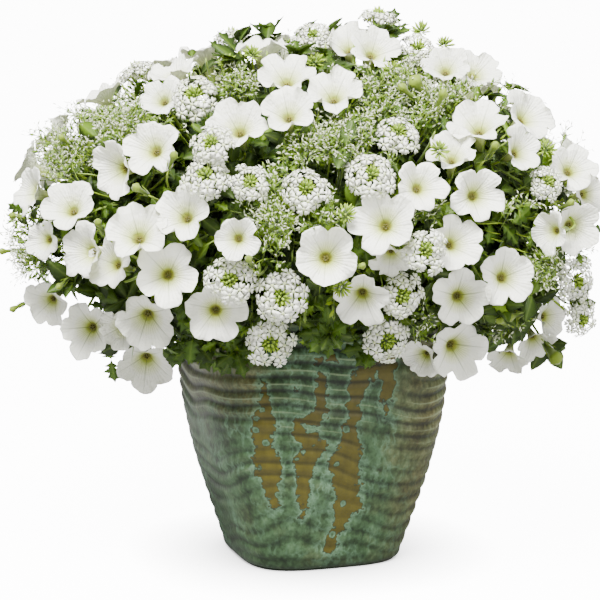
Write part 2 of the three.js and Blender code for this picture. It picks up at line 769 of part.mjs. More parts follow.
/** Petunias that share a shoot: from the left, each takes the nearest ones that are left. */
function shareShoots(petunias) {
  let left = petunias.toSorted((a, b) => a.point.x - b.point.x);
  const shoots = [];
  while (left.length > 0) {
    const [main, ...others] = left;
    const far = (item) => item.point.distanceTo(main.point);
    const nearest = others.toSorted((a, b) => far(a) - far(b)).slice(0, SHOOT.mates);
    const mates = nearest.filter((item) => far(item) < SHOOT.reach);
    left = others.filter((item) => !mates.includes(item));
    shoots.push([main, ...mates]);
  }
  return shoots;
}

/** Roots a shoot's first petunia in the bush, and the others on the upper half of its stalk. */
function rootShoot([main, ...mates]) {
  const tubeEnd = (item) => {
    return item.point.clone().addScaledVector(item.facing, (-PETUNIA.depth * item.width) / PETUNIA.width);
  };
  const root = rootOf(tubeEnd(main));
  const middle = stalkMiddle(root, tubeEnd(main), main.facing);
  const rootedMates = mates.map((item, i) => {
    const up = (i + 0.4) / (mates.length + 0.6);
    return { ...item, root: middle.clone().lerp(tubeEnd(main), up), isMain: false };
  });
  return [{ ...main, root, isMain: true }, ...rootedMates];
}

/** Moves a piece nearer, and its root aside, until it is clear of what is there. */
function seatClear(item, make, keepOut, furthest) {
  for (let nearer = 0; nearer <= furthest; nearer += SEAT.step) {
    for (let i = 0; i < SEAT.tries; i++) {
      const reach = i === 0 ? 0 : SEAT.aside;
      const aside = new THREE.Vector3(Math.cos(i) * reach, 0, Math.sin(i) * reach);
      const point = item.at(nearer);
      const seated = { ...item, point, root: rootOf(point, aside), roll: item.roll + i };
      if (!meets(make(seated), keepOut)) return [seated];
    }
  }
  return [];
}

const draw = seededDraws(20);

const petunias = shareShoots([
  ...placed(PETUNIAS, REPEATED_BEHIND.petunias, draw),
  ...placedOnTop(TOP_PETUNIAS, draw),
]).flatMap(rootShoot);
const petuniaClusters = unite(petunias.map((item) => petuniaSolid(item))).decompose();
let keepOut = unite(petunias.map((item) => petuniaSolid(item, GAP)));

const verbenaHeads = [
  ...placed(VERBENAS, REPEATED_BEHIND.verbenas, draw),
  ...placedOnTop(TOP_VERBENAS, draw),
].flatMap((item) =>
  seatClear(item, (seated) => headSolid(seated, GAP), keepOut, 70).map((seated) => {
    keepOut = keepOut.add(headSolid(seated, GAP));
    return headSolid(seated);
  }),
);

const euphorbiaSprays = placed(SPRAYS, REPEATED_BEHIND.sprays, draw).flatMap((item) =>
  seatClear(item, (seated) => sprayParts(seated, GAP).stalk, keepOut, 70).map((seated) => {
    const grown = sprayParts(seated, GAP);
    const clear = grown.arms.map((arm) => !meets(arm, keepOut));
    const keptOf = ({ stalk, arms }) => unite([stalk, ...arms.filter((_, i) => clear[i])]);
    keepOut = keepOut.add(keptOf(grown));
    return keptOf(sprayParts(seated));
  }),
);

const pot = potSolid();
const mix = mixSolid();
keepOut = keepOut.add(pot);
const budHeads = placed(BUD_HEADS, REPEATED_BEHIND.budHeads, draw).flatMap((item) =>
  seatClear(item, budHeadSolid, keepOut, 20).map(budHeadSolid),
);
const leafyStems = [
  ...placed(TOOTHED_LEAVES, REPEATED_BEHIND.leaves, draw).map((item) => ({ ...item, isToothed: true })),
  ...placed(PLAIN_LEAVES, REPEATED_BEHIND.leaves, draw),
  ...placedOnTop(TOP_LEAVES, draw),
].flatMap((item) => seatClear(item, (seated) => unite(leafyStem(seated)), keepOut, 30).flatMap(leafyStem));
const crowns = CROWNS.map((at) => {
  return crownPost(at, CROWN.radius, MIX.level - CROWN.sunk, MIX.level + CROWN.above);
});
const greenery = unite([bushSolid(), ...crowns, ...budHeads, ...leafyStems]).subtract(keepOut);

// The pieces, each in its own colour

const pottedPetunia = new THREE.Group();
const MATERIALS = {
  glaze: { color: 0x5f7a5c, roughness: 0.3 },
  mix: { color: 0x3a2a1d, roughness: 0.95 },
  leaf: { color: 0x4f7a2a, roughness: 0.55 },
  petal: { color: 0xf7f7f2, roughness: 0.6 },
  bract: { color: 0xe6efd6, roughness: 0.6 },
};

function addPiece(name, solid, finish) {
  const material = new THREE.MeshStandardMaterial({ ...MATERIALS[finish], metalness: 0 });
  const mesh = new THREE.Mesh(geometryFromSolid(solid), material);
  mesh.name = name;
  pottedPetunia.add(mesh);
}

function addPieces(name, solids, finish) {
  solids.forEach((solid, i) => addPiece(`${name}_${String(i + 1).padStart(2, "0")}`, solid, finish));
}

addPiece("pot", pot, "glaze");
addPiece("potting_mix", mix, "mix");
addPiece("leafy_stems", largestOf(greenery.decompose()), "leaf");
addPieces("petunias", petuniaClusters, "petal");
addPieces("verbena", verbenaHeads, "petal");
addPieces("euphorbia", euphorbiaSprays, "bract");

export default pottedPetunia;
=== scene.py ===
"""A potted petunia: white petunias, white verbena and fine white euphorbia over green leaves, in a
rounded-square pot with a rippled green drip glaze.

Each sub-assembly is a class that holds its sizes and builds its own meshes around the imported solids. Sizes
are millimetres while a mesh is made, and metres in the scene. The front faces -Y.
"""
import logging
import math
from collections.abc import Callable
from dataclasses import dataclass, field
from enum import Enum
from typing import NamedTuple

import bpy
import numpy as np
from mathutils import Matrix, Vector


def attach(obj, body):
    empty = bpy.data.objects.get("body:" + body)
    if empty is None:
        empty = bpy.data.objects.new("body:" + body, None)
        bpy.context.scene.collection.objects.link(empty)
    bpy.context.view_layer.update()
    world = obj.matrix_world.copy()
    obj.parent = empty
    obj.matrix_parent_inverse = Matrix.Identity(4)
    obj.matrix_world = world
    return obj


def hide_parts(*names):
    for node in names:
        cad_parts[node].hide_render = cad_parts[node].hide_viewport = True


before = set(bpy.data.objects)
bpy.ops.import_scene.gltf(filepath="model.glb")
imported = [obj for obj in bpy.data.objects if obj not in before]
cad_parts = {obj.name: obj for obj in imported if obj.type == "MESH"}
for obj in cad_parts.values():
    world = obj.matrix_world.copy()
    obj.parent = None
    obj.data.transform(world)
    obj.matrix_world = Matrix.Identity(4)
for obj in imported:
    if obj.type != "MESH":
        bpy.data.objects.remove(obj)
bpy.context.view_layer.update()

Array = np.ndarray
Tree = bpy.types.NodeTree
Node = bpy.types.Node
Socket = bpy.types.NodeSocket
Colour = tuple[float, float, float, float]
TO_METRES = 0.001
TURN = 2 * math.pi
LOBE = TURN / 5
GOLDEN_ANGLE = math.pi * (3 - math.sqrt(5))
BODY = "root"
log = logging.getLogger("potted_petunia")

# Vectors and curves


def vec(*parts: float) -> Array:
    """A vector of floats."""
    return np.array(parts, float)


def unit(vectors: Array) -> Array:
    """The vectors at length 1."""
    return vectors / np.maximum(np.linalg.norm(vectors, axis=-1, keepdims=True), 1e-9)


def smooth(values: Array) -> Array:
    """A soft step from 0 to 1."""
    share = np.clip(values, 0, 1)
    return share * share * (3 - 2 * share)


def ring_at(angle: Array, radius: Array | float, height: Array | float) -> Array:
    """Points about +Z, from the angle, the radius and the height of each."""
    return np.stack(np.broadcast_arrays(radius * np.cos(angle), radius * np.sin(angle), height), -1)


def leaning(lean: Array | float, turn: Array | float) -> Array:
    """Directions that lean from +Z by one angle, towards another about it."""
    return ring_at(turn, np.sin(lean), np.cos(lean))


def turns_to(facings: Array, rolls: Array) -> Array:
    """Turns that take +Z to each facing by the shortest way, after a roll about it.

    Args:
        facings: (n, 3) directions.
        rolls: (n,) angles.
    Returns:
        (n, 3, 3) matrices whose columns are the turned axes.
    """
    x, y, z = unit(np.atleast_2d(facings)).T
    low = np.maximum(1 + z, 1e-6)
    first = np.stack([1 - x * x / low, -x * y / low, -x], -1)
    second = np.stack([-x * y / low, 1 - y * y / low, -y], -1)
    cos, sin = np.cos(rolls)[:, None], np.sin(rolls)[:, None]
    return np.stack([cos * first + sin * second, cos * second - sin * first, np.stack([x, y, z], -1)], -1)


def turns_along(along: Array, facings: Array) -> Array:
    """Turns that take +Y along one direction and +Z as near as can be to another, both (n, 3)."""
    y_axis = unit(along)
    x_axis = unit(np.cross(y_axis, facings))
    return np.stack([x_axis, y_axis, np.cross(x_axis, y_axis)], -1)


def bend(start: Array, middle: Array, end: Array, steps: int) -> Array:
    """Points on a curve from start to end that is drawn towards middle."""
    t = np.linspace(0, 1, steps)[:, None]
    return (1 - t) ** 2 * start + 2 * t * (1 - t) * middle + t**2 * end


class SteadyDraws:
    """Draws from 0 to 1, the same ones that place the solids."""

    def __init__(self, seed: int) -> None:
        """Starts from a seed."""
        self.state = seed

    def __call__(self) -> float:
        """The next draw."""
        self.state = (self.state * 1664525 + 1013904223) % 4294967296
        return self.state / 4294967296


@dataclass(frozen=True)
class Waves:
    """Smooth unevenness over two coordinates, a sum of sines that closes round a turn of the first."""

    seed: int
    turns: tuple[int, int] = (1, 6)
    steepness: float = 0.03
    count: int = 9

    def __call__(self, angle: Array, height: Array) -> Array:
        """The unevenness, mostly from -1 to 1, at an angle and a height in millimetres."""
        rng = np.random.default_rng(self.seed)
        total = np.zeros(np.broadcast(angle, height).shape)
        for _ in range(self.count):
            around = rng.integers(self.turns[0], self.turns[1] + 1)
            climb = rng.uniform(-1, 1) * self.steepness
            total += np.sin(around * angle + climb * height + rng.uniform(0, TURN))
        return total / math.sqrt(self.count)


# Meshes


@dataclass
class Part:
    """A small mesh that is used many times."""

    points: Array
    faces: list[Array]
    finish: int = 0
    values: dict[str, Array] = field(default_factory=dict)


def closed_rings(rings: int, around: int) -> list[Array]:
    """Faces of a closed skin of a first pole, rings, and a last pole, in that order of points.

    Args:
        rings: how many rings lie between the poles.
        around: points in each ring, anticlockwise seen from the last pole.
    Returns:
        Triangles and quads that face out.
    """
    j = np.arange(around)
    k = (j + 1) % around
    start = 1 + around * np.arange(rings - 1)[:, None]
    quads = np.stack([start + j, start + k, start + around + k, start + around + j], -1).reshape(-1, 4)
    last = 1 + around * (rings - 1)
    pole = np.full(around, last + around)
    return [np.stack([0 * j, 1 + k, 1 + j], -1), quads, np.stack([last + j, last + k, pole], -1)]


def with_ends(first: float, rings: Array | list[Array], last: float) -> Array:
    """The points of rings between two poles on the axis, at these heights."""
    return np.concatenate([[vec(0, 0, first)], *rings, [vec(0, 0, last)]])


def lathe_points(profile: Array, around: int) -> Array:
    """Points of a closed skin turned about +Z, from (radius, height) rows whose ends lie on the axis."""
    angle = np.arange(around) * TURN / around
    rings = [ring_at(angle, radius, height) for radius, height in profile[1:-1]]
    return with_ends(profile[0][1], rings, profile[-1][1])


def tube_points(path: Array, radii: Array, sides: int) -> Array:
    """Points of a closed tube with a pole at each end of its path and a ring at each point between."""
    tangents = unit(np.gradient(path, axis=0))
    side = np.cross(tangents[0], vec(0.31, 0.95, 0.05))
    rings = []
    angle = np.arange(sides) * TURN / sides
    for at, tangent, radius in zip(path[1:-1], tangents[1:-1], radii[1:-1]):
        side = unit(side - tangent * (side @ tangent))
        other = np.cross(tangent, side)
        rings.append(at + radius * (np.cos(angle)[:, None] * side + np.sin(angle)[:, None] * other))
    return np.concatenate([path[:1], *rings, path[-1:]])


class Skin:
    """A piece that is being put together, with the values over it that its finishes read."""

    VALUES = ("reach", "across", "back", "shade")

    def __init__(self) -> None:
        """Starts empty."""
        self.points: list[Array] = []
        self.faces: list[Array] = []
        self.finishes: list[Array] = []
        self.values: dict[str, list[Array]] = {name: [] for name in self.VALUES}
        self.count = 0

    def add(self, points: Array, faces: list[Array], finish: int = 0, **values: Array | float) -> None:
        """Adds a mesh.

        Args:
            points: (n, 3) millimetres.
            faces: arrays of triangles and of quads.
            finish: which of the piece's finishes it has.
            **values: a number, or one for each point, for any of VALUES.
        """
        self.points.append(points)
        for some in faces:
            self.faces.append(some + self.count)
            self.finishes.append(np.full(len(some), finish))
        for name in self.VALUES:
            self.values[name].append(np.broadcast_to(values.get(name, 0.0), len(points)))
        self.count += len(points)

    def stand(
        self, part: Part, origins: Array, turns: Array, scales: Array | float, shades: Array | float
    ) -> None:
        """Adds a copy of a part at each origin, turned, scaled and with a shade of its own.

        Args:
            part: the mesh to copy.
            origins: (n, 3) millimetres.
            turns: (n, 3, 3) matrices.
            scales: one for all or one for each.
            shades: one for all or one for each.
        """
        if len(origins) == 0:
            return
        size, copies = len(part.points), len(origins)
        placed = np.einsum("nij,mj->nmi", turns, part.points) * np.reshape(scales, (-1, 1, 1))
        placed += np.reshape(origins, (-1, 1, 3))
        shift = (np.arange(copies) * size)[:, None, None]
        faces = [(some[None] + shift).reshape(-1, some.shape[1]) for some in part.faces]
        values = {name: np.tile(value, copies) for name, value in part.values.items()}
        values["shade"] = np.repeat(np.broadcast_to(shades, copies), size)
        self.add(placed.reshape(-1, 3), faces, part.finish, **values)

    def tube(self, path: Array, radii: Array, sides: int, finish: int = 0, shade: float = 0.5) -> None:
        """Adds a closed tube along a path."""
        reach = np.concatenate([[0], np.repeat(np.linspace(0, 1, len(path))[1:-1], sides), [1]])
        faces = closed_rings(len(path) - 2, sides)
        self.add(tube_points(path, radii, sides), faces, finish, reach=reach, shade=shade)

    def part(self, finish: int) -> Part:
        """What has been put together so far, as one part to be used many times."""
        faces = []
        for corners in (3, 4):
            alike = [some for some in self.faces if some.shape[1] == corners]
            faces.append(np.concatenate(alike or [np.zeros((0, corners), int)]))
        values = {name: np.concatenate(arrays) for name, arrays in self.values.items()}
        return Part(np.concatenate(self.points), faces, finish, values)

    def piece(self, name: str, finishes: list["Finish"], replaced: list[str]) -> None:
        """Makes the piece and lets it ride on the plant's body.

        Args:
            name: the piece's name.
            finishes: what its faces are finished with, by number.
            replaced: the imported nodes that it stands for.
        """
        mesh = bpy.data.meshes.new(name)
        points = np.concatenate(self.points) * TO_METRES
        corners = np.concatenate([some.ravel() for some in self.faces])
        sizes = np.concatenate([np.full(len(some), some.shape[1]) for some in self.faces])
        mesh.vertices.add(len(points))
        mesh.vertices.foreach_set("co", points.astype(np.float32).ravel())
        mesh.loops.add(len(corners))
        mesh.loops.foreach_set("vertex_index", corners.astype(np.int32))
        mesh.polygons.add(len(sizes))
        starts = np.concatenate([[0], np.cumsum(sizes)[:-1]])
        mesh.polygons.foreach_set("loop_start", starts.astype(np.int32))
        mesh.polygons.foreach_set("material_index", np.concatenate(self.finishes).astype(np.int32))
        mesh.polygons.foreach_set("use_smooth", np.ones(len(sizes), bool))
        for value, arrays in self.values.items():
            attribute = mesh.attributes.new(value, "FLOAT", "POINT")
            attribute.data.foreach_set("value", np.concatenate(arrays).astype(np.float32))
        mesh.update(calc_edges=True)
        for finish in finishes:
            mesh.materials.append(finish.material())
        made = bpy.data.objects.new(name, mesh)
        bpy.context.scene.collection.objects.link(made)
        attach(made, BODY)
        if replaced:
            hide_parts(*replaced)
        log.info("%s: %d triangles", name, int((sizes - 2).sum()))


# Where things stand


@dataclass(frozen=True)
class Picture:
    """The front view that places are read in: a square of 600 pixels, from 3 m away and 10 degrees up."""

    middle: float = 300.0
    mm_per_pixel: float = 1.1
    distance: float = 3000.0
    rise: float = math.radians(10)
    aim: tuple[float, float, float] = (-12.0, 0.0, 282.0)

    @property
    def right(self) -> Array:
        """The picture's way across."""
        return vec(1, 0, 0)

    @property
    def up(self) -> Array:
        """The picture's way up."""
        return vec(0, math.sin(self.rise), math.cos(self.rise))

    @property
    def viewer(self) -> Array:
        """The way to whoever looks at it."""
        return vec(0, -math.cos(self.rise), math.sin(self.rise))

    def facing(self, right: float, up: float) -> Array:
        """The direction that faces right and up by these shares, and the viewer with the rest."""
        rest = math.sqrt(max(0.0, 1 - right * right - up * up))
        return unit(right * self.right + up * self.up + rest * self.viewer)

    def point(self, across: float, up: float, depth: float) -> Array:
        """Where a place across and up in the picture lies, when it is this far forward of the aim."""
        shrink = 1 - depth / self.distance
        return np.array(self.aim) + across * shrink * self.right + up * shrink * self.up + depth * self.viewer

    def pixels(self, points: Array) -> Array:
        """The pixels, across and down, where points show."""
        away = points - np.array(self.aim)
        shrink = (1 - away @ self.viewer / self.distance) * self.mm_per_pixel
        return np.stack([self.middle + away @ self.right / shrink, self.middle - away @ self.up / shrink], -1)


@dataclass(frozen=True)
class Mound:
    """The rounded mound that the flowers stand on."""

    across: float = 330.0
    deep: float = 262.0
    tall: float = 200.0
    at: tuple[float, float, float] = (-7.0, 0.0, 377.0)

    @property
    def half(self) -> Array:
        """Half its size each way."""
        return vec(self.across, self.deep, self.tall)

    def surface(self, direction: Array, share: Array | float = 1.0) -> Array:
        """The points at a share of the way out, for directions on a unit ball."""
        return np.array(self.at) + direction * self.half * share

    def normal(self, points: Array) -> Array:
        """The way out of the mound at points near its surface."""
        return unit((points - np.array(self.at)) / self.half**2)


PICTURE = Picture()
MOUND = Mound()
PLAIN_WIDTH = 40.0
NEVER_BEHIND = 9999.0


@dataclass
class Place:
    """Where a flower, spray or pair of leaves stands, and which way it faces."""

    nearer: Callable[[float], Array]
    facing: Array
    width: float
    depth: float = 0.0
    roll: float = 0.0
    seat_step: float = 5.0
    seat_steps: int = 15

    @property
    def point(self) -> Array:
        """Its middle, where it was read."""
        return self.nearer(0.0)

    @property
    def turn(self) -> Array:
        """The turn that takes +Z to its facing, after its roll."""
        return turns_to(self.facing, np.array([self.roll]))[0]

    def behind(self) -> "Place":
        """Its repeat on the back of the mound."""
        mirror = vec(1, -1, 1)
        return Place(lambda more: self.nearer(more) * mirror, self.facing * mirror, self.width, self.depth)

    def seated(self, cloud: Array, offset: Array) -> "Place":
        """The place moved nearer as its solid was.

        Args:
            cloud: the solid's vertices.
            offset: from the middle to a vertex that shows where the solid stands.
        Returns:
            The place whose offset point comes closest to a vertex.
        """
        stops = [self.nearer(self.seat_step * step) for step in range(self.seat_steps)]
        miss = [float(np.min(np.linalg.norm(cloud - stop - offset, axis=1))) for stop in stops]
        seat = stops[int(np.argmin(miss))]
        return Place(lambda more: seat + self.facing * more, self.facing, self.width, self.depth, self.roll)


Bloom = tuple[Place, Array, bool]  # where it stands, its stalk's root, and whether that is in the bush


def placed(rows: list[tuple[float, ...]], forward_of: float, draw: SteadyDraws) -> list[Place]:
    """Places read in the picture and, where they lie well forward, their repeats on the back.

    Args:
        rows: across and down in the picture, how far each faces right and up, width, and how much nearer
            than the mound's surface it stands.
        forward_of: what lies further forward than this is repeated behind.
        draw: gives each its roll.
    Returns:
        The places in front, then those behind.
    """
    front: list[Place] = []
    for across, down, right, up, *rest in rows:
        width, lift = rest if rest else (PLAIN_WIDTH, 0.0)
        x = (across - PICTURE.middle) * PICTURE.mm_per_pixel
        rise = (PICTURE.middle - down) * PICTURE.mm_per_pixel
        centre = np.array(MOUND.at) - np.array(PICTURE.aim)
        out = (x - centre @ PICTURE.right) / MOUND.across, (rise - centre @ PICTURE.up) / MOUND.tall
        depth = centre @ PICTURE.viewer + MOUND.deep * math.sqrt(max(0.0, 1 - out[0] ** 2 - out[1] ** 2))

        def nearer(more: float, x: float = x, rise: float = rise, depth: float = depth + lift) -> Array:
            """The point this much nearer the viewer."""
            return PICTURE.point(x, rise, depth + more)

        front.append(Place(nearer, PICTURE.facing(right, up), width, depth))
    back = [item.behind() for item in front if item.depth > forward_of]
    for item in front + back:
        item.roll = draw() * TURN
    return front + back


def placed_on_top(rows: list[tuple[float, float, float]], draw: SteadyDraws) -> list[Place]:
    """Places on the mound seen from above, from rows of across, back and width, each facing out of it."""
    places: list[Place] = []
    for x, y, width in rows:
        share = vec(x - MOUND.at[0], y, 0) / MOUND.half
        share[2] = math.sqrt(max(0.02, 1 - share @ share))
        facing = unit(share / MOUND.half)
        start = MOUND.surface(share)

        def nearer(more: float, start: Array = start, facing: Array = facing, width: float = width) -> Array:
            """The point this much further out."""
            return start + facing * (more - width / 8)

        places.append(Place(nearer, facing, width, roll=draw() * TURN))
    return places


@dataclass(frozen=True)
class Planting:
    """Every place in the mound, in the same terms and from the same draws as the solids."""

    # what lies further forward than this is repeated on the back
    petunias_behind: float = 138.0
    verbenas_behind: float = 258.0
    sprays_behind: float = 245.0
    bud_heads_behind: float = 240.0
    leaves_behind: float = 225.0
    petunias: tuple[tuple[float, ...], ...] = (
        (150, 145, -0.3, 0.35, 62, 6), (111, 170, -0.72, -0.1, 62, 10), (68, 203, -0.25, 0.5, 58, 0),
        (26, 190, -0.8, 0.2, 52, 0), (160, 95, -0.3, 0.5, 48, -10), (182, 212, -0.25, 0.35, 60, -6),
        (286, 71, -0.05, 0.7, 62, 0), (333, 88, -0.05, 0.68, 60, 10), (288, 108, -0.05, 0.58, 58, 14),
        (237, 122, -0.15, 0.58, 62, 0), (350, 40, 0, 0.7, 58, -16), (375, 46, 0.25, 0.6, 56, 6),
        (478, 67, 0.3, 0.62, 56, 0), (446, 63, 0, 0.62, 52, -18), (478, 119, -0.1, 0.72, 62, 8),
        (531, 112, 0.55, 0.5, 58, 0), (524, 149, 0.6, 0.3, 50, 6), (573, 165, 0.25, 0.45, 54, 0),
        (592, 192, 0.65, 0.15, 48, -14), (577, 228, 0.4, -0.2, 58, 6), (452, 150, 0, 0.68, 54, -14),
        (421, 184, 0.22, 0.3, 54, 6), (479, 195, 0.32, 0.05, 58, 4), (136, 229, -0.1, 0.48, 68, 14),
        (166, 275, -0.05, 0, 66, 12), (80, 252, -0.7, 0, 60, 12), (108, 262, -0.55, 0.2, 54, -8),
        (46, 305, -0.4, -0.4, 52, 0), (85, 330, -0.35, -0.15, 60, 8), (145, 324, -0.1, -0.5, 66, -4),
        (118, 331, -0.4, -0.35, 50, -20), (145, 368, -0.05, -0.6, 64, 10), (215, 314, 0, -0.2, 63, 0),
        (236, 238, -0.15, 0.05, 48, 0), (326, 257, 0, 0.05, 67, 4), (383, 221, -0.15, 0.25, 67, 4),
        (392, 262, 0.05, -0.75, 46, -4), (361, 300, -0.1, -0.42, 58, -2), (458, 241, 0.42, 0.22, 58, 0),
        (508, 275, 0.3, 0.15, 60, 4), (462, 299, 0.2, -0.15, 62, 2), (460, 351, 0.42, -0.3, 66, 8),
        (419, 360, -0.6, -0.45, 46, -8), (553, 318, 0.7, -0.1, 48, 0), (507, 362, -0.2, -0.8, 46, 4),
        (537, 346, 0.3, -0.7, 46, -4), (548, 232, -0.7, -0.1, 46, -6), (41, 240, -0.6, 0, 44, -20),
    )
    top_petunias: tuple[tuple[float, float, float], ...] = (
        (-322, 12, 54), (-298, 112, 54), (-292, 60, 54), (-232, -15, 58), (-245, 128, 56), (-178, 70, 60),
        (-150, -62, 58), (-118, 12, 60), (-112, 138, 58), (-55, -28, 60), (-52, 80, 62), (5, 28, 58),
        (12, 130, 60), (68, 80, 58), (130, 55, 60), (128, 135, 58), (190, 95, 60), (262, 125, 54),
        (298, 55, 52), (312, -8, 54), (288, 112, 52),
    )
    verbenas: tuple[tuple[float, ...], ...] = (
        (194, 94, -0.2, 0.45, 48, 0), (211, 142, -0.2, 0.4, 44, 0), (206, 175, -0.1, 0.3, 48, 0),
        (306, 188, 0, 0.3, 46, 0), (372, 174, 0.1, 0.35, 48, 0), (399, 131, 0.1, 0.5, 44, 0),
        (418, 47, 0.1, 0.5, 42, 0), (313, 34, -0.1, 0.5, 38, 0), (229, 280, -0.1, 0, 48, 0),
        (281, 297, 0, 0, 50, 0), (270, 344, 0, -0.25, 48, 0), (387, 342, 0.1, -0.2, 46, 0),
        (426, 250, 0.1, 0.1, 44, 0), (402, 296, 0.1, 0, 44, 0), (577, 280, 0.35, 0, 46, 0),
        (583, 321, 0.5, -0.3, 40, 0), (250, 181, 0, 0.3, 40, 0), (548, 182, 0.3, 0.2, 36, 0),
    )
    top_verbenas: tuple[tuple[float, float, float], ...] = ((-195, 20, 44), (-88, 62, 44), (70, 18, 44))
    sprays: tuple[tuple[float, ...], ...] = (
        (100, 112, -0.4, 0.5), (42, 158, -0.7, 0.4), (22, 268, -0.8, -0.1), (330, 140, 0, 0.5),
        (268, 222, 0, 0.2), (447, 100, 0.2, 0.5), (512, 220, 0.4, 0.1), (555, 262, 0.5, 0),
    )
    bud_heads: tuple[tuple[float, ...], ...] = (
        (226, 60, -0.1, 0.6), (252, 51, 0, 0.7), (315, 60, 0, 0.6), (392, 68, 0, 0.6), (422, 28, 0, 0.7),
        (445, 42, 0.2, 0.6), (440, 148, 0.1, 0.4), (346, 214, 0, 0.2), (341, 288, 0, -0.1),
        (548, 148, 0.4, 0.3),
    )
    toothed_leaves: tuple[tuple[float, ...], ...] = (
        (228, 248, 0, 0.1), (192, 338, -0.1, -0.2), (207, 362, 0, -0.7), (334, 322, 0, -0.3),
        (60, 334, -0.5, -0.3), (110, 362, -0.2, -0.6), (262, 205, 0, 0.3), (262, 160, -0.1, 0.4),
        (432, 318, 0.1, -0.3), (205, 55, -0.1, 0.7), (305, 325, 0, -0.3),
    )
    plain_leaves: tuple[tuple[float, ...], ...] = (
        (122, 282, -0.3, 0), (345, 145, 0, 0.5), (436, 128, 0.1, 0.5), (505, 200, 0.4, 0.2),
        (535, 295, 0.6, -0.1), (95, 135, -0.5, 0.4),
    )
    top_leaves: tuple[tuple[float, float, float], ...] = (
        (-215, 55, 30), (-20, -5, 30), (100, 105, 30), (215, 40, 30),
    )

    def places(self) -> dict[str, list[Place]]:
        """All places by kind. The order of the draws is the solids' own."""
        draw = SteadyDraws(20)
        made = {"petunias": placed(self.petunias, self.petunias_behind, draw)}
        made["petunias"] += placed_on_top(self.top_petunias, draw)
        made["verbenas"] = placed(self.verbenas, self.verbenas_behind, draw)
        made["verbenas"] += placed_on_top(self.top_verbenas, draw)
        made["sprays"] = placed(self.sprays, self.sprays_behind, draw)
        made["bud_heads"] = placed(self.bud_heads, self.bud_heads_behind, draw)
        made["toothed_leaves"] = placed(self.toothed_leaves, self.leaves_behind, draw)
        made["plain_leaves"] = placed(self.plain_leaves, self.leaves_behind, draw)
        made["plain_leaves"] += placed_on_top(self.top_leaves, draw)
        return made


@dataclass(frozen=True)
class Bush:
    """The dense middle that every stalk is rooted in."""

    across: float = 222.0
    back: float = 168.0
    foot: float = 268.0
    sunk: float = 14.0
    profile: tuple[tuple[float, float], ...] = (
        (0, 0), (0.42, 2), (0.5, 24), (0.86, 40), (1, 92), (0.9, 168), (0.62, 226), (0.28, 252), (0, 256),
    )

    def share(self, height: float) -> float:
        """Its share of its full width at a height."""
        shares, tops = zip(*self.profile)
        return float(np.interp(height - self.foot, tops, shares, left=0, right=0))

    def holds(self, at: Array) -> bool:
        """Whether a point lies well inside it."""
        return math.hypot(at[0] / self.across, at[1] / self.back) < 0.93 * self.share(at[2])

    def root(self, target: Array) -> Array:
        """Where a stalk to a point outside is rooted: low blooms from above, high ones from below."""
        inward = float(np.interp(target[2], (230, 560), (0.86, 0.5)))
        aim = vec(target[0] * inward, target[1] * inward, 400)
        while not self.holds(aim):
            aim *= vec(0.97, 0.97, 1)
            aim[2] -= np.sign(aim[2] - 380) * 3
        way = target - aim
        share = 0.0
        while share < 1 and self.holds(aim + way * (share + 0.02)):
            share += 0.02
        surface = aim + way * share
        return surface - unit(way) * min(self.sunk, float(np.linalg.norm(surface - aim)))


BUSH = Bush()


@dataclass
class KeepClear:
    """The room in front of the flowers, which leaves and sprays stay out of."""

    centres: Array
    facings: Array
    radii: Array
    funnel: float = 0.75
    flower_share: float = 0.98
    seen_share: float = 0.86

    @classmethod
    def around(cls, flowers: list[Place]) -> "KeepClear":
        """The room in front of these flowers."""
        centres = np.array([place.point for place in flowers])
        facings = np.array([place.facing for place in flowers])
        return cls(centres, facings, np.array([place.width / 2 * cls.flower_share for place in flowers]))

    def holds(self, points: Array, behind: float = 8.0, ahead: float = 90.0) -> Array:
        """Which points lie in front of a flower or in its face, seen along its facing or by the viewer."""
        inside = np.zeros(len(points), bool)
        for centre, facing, radius in zip(self.centres, self.facings, self.radii):
            away = points - centre
            ways = [facing] if centre[1] > 0 else [facing, PICTURE.viewer]
            for way in ways:
                along = away @ way
                aside = np.linalg.norm(away - along[:, None] * way, axis=1)
                spread = radius if way is facing else radius * self.seen_share
                funnel = np.maximum(0, 1 - aside / spread) * radius * self.funnel
                inside |= (along > -behind - funnel) & (along < ahead) & (aside < spread)
        return inside


def node_points(node: str) -> Array:
    """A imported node's vertices, in millimetres."""
    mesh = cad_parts[node].data
    flat = np.zeros(len(mesh.vertices) * 3, np.float32)
    mesh.vertices.foreach_get("co", flat)
    return flat.reshape(-1, 3).astype(float) / TO_METRES


def farthest(cloud: Array, point: Array) -> Array:
    """The vertex that lies farthest from a point."""
    return cloud[int(np.argmax(np.linalg.norm(cloud - point, axis=1)))]


def nodes_named(start: str) -> list[str]:
    """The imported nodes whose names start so, in order."""
    return sorted(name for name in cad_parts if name.startswith(start))


# Finishes


def linear(hex_colour: str, opacity: float = 1.0) -> Colour:
    """A colour from its sRGB hex value, as the linear light that a shader takes."""
    parts = [int(hex_colour[i : i + 2], 16) / 255 for i in (1, 3, 5)]
    red, green, blue = (p / 12.92 if p <= 0.04045 else ((p + 0.055) / 1.055) ** 2.4 for p in parts)
    return (red, green, blue, opacity)


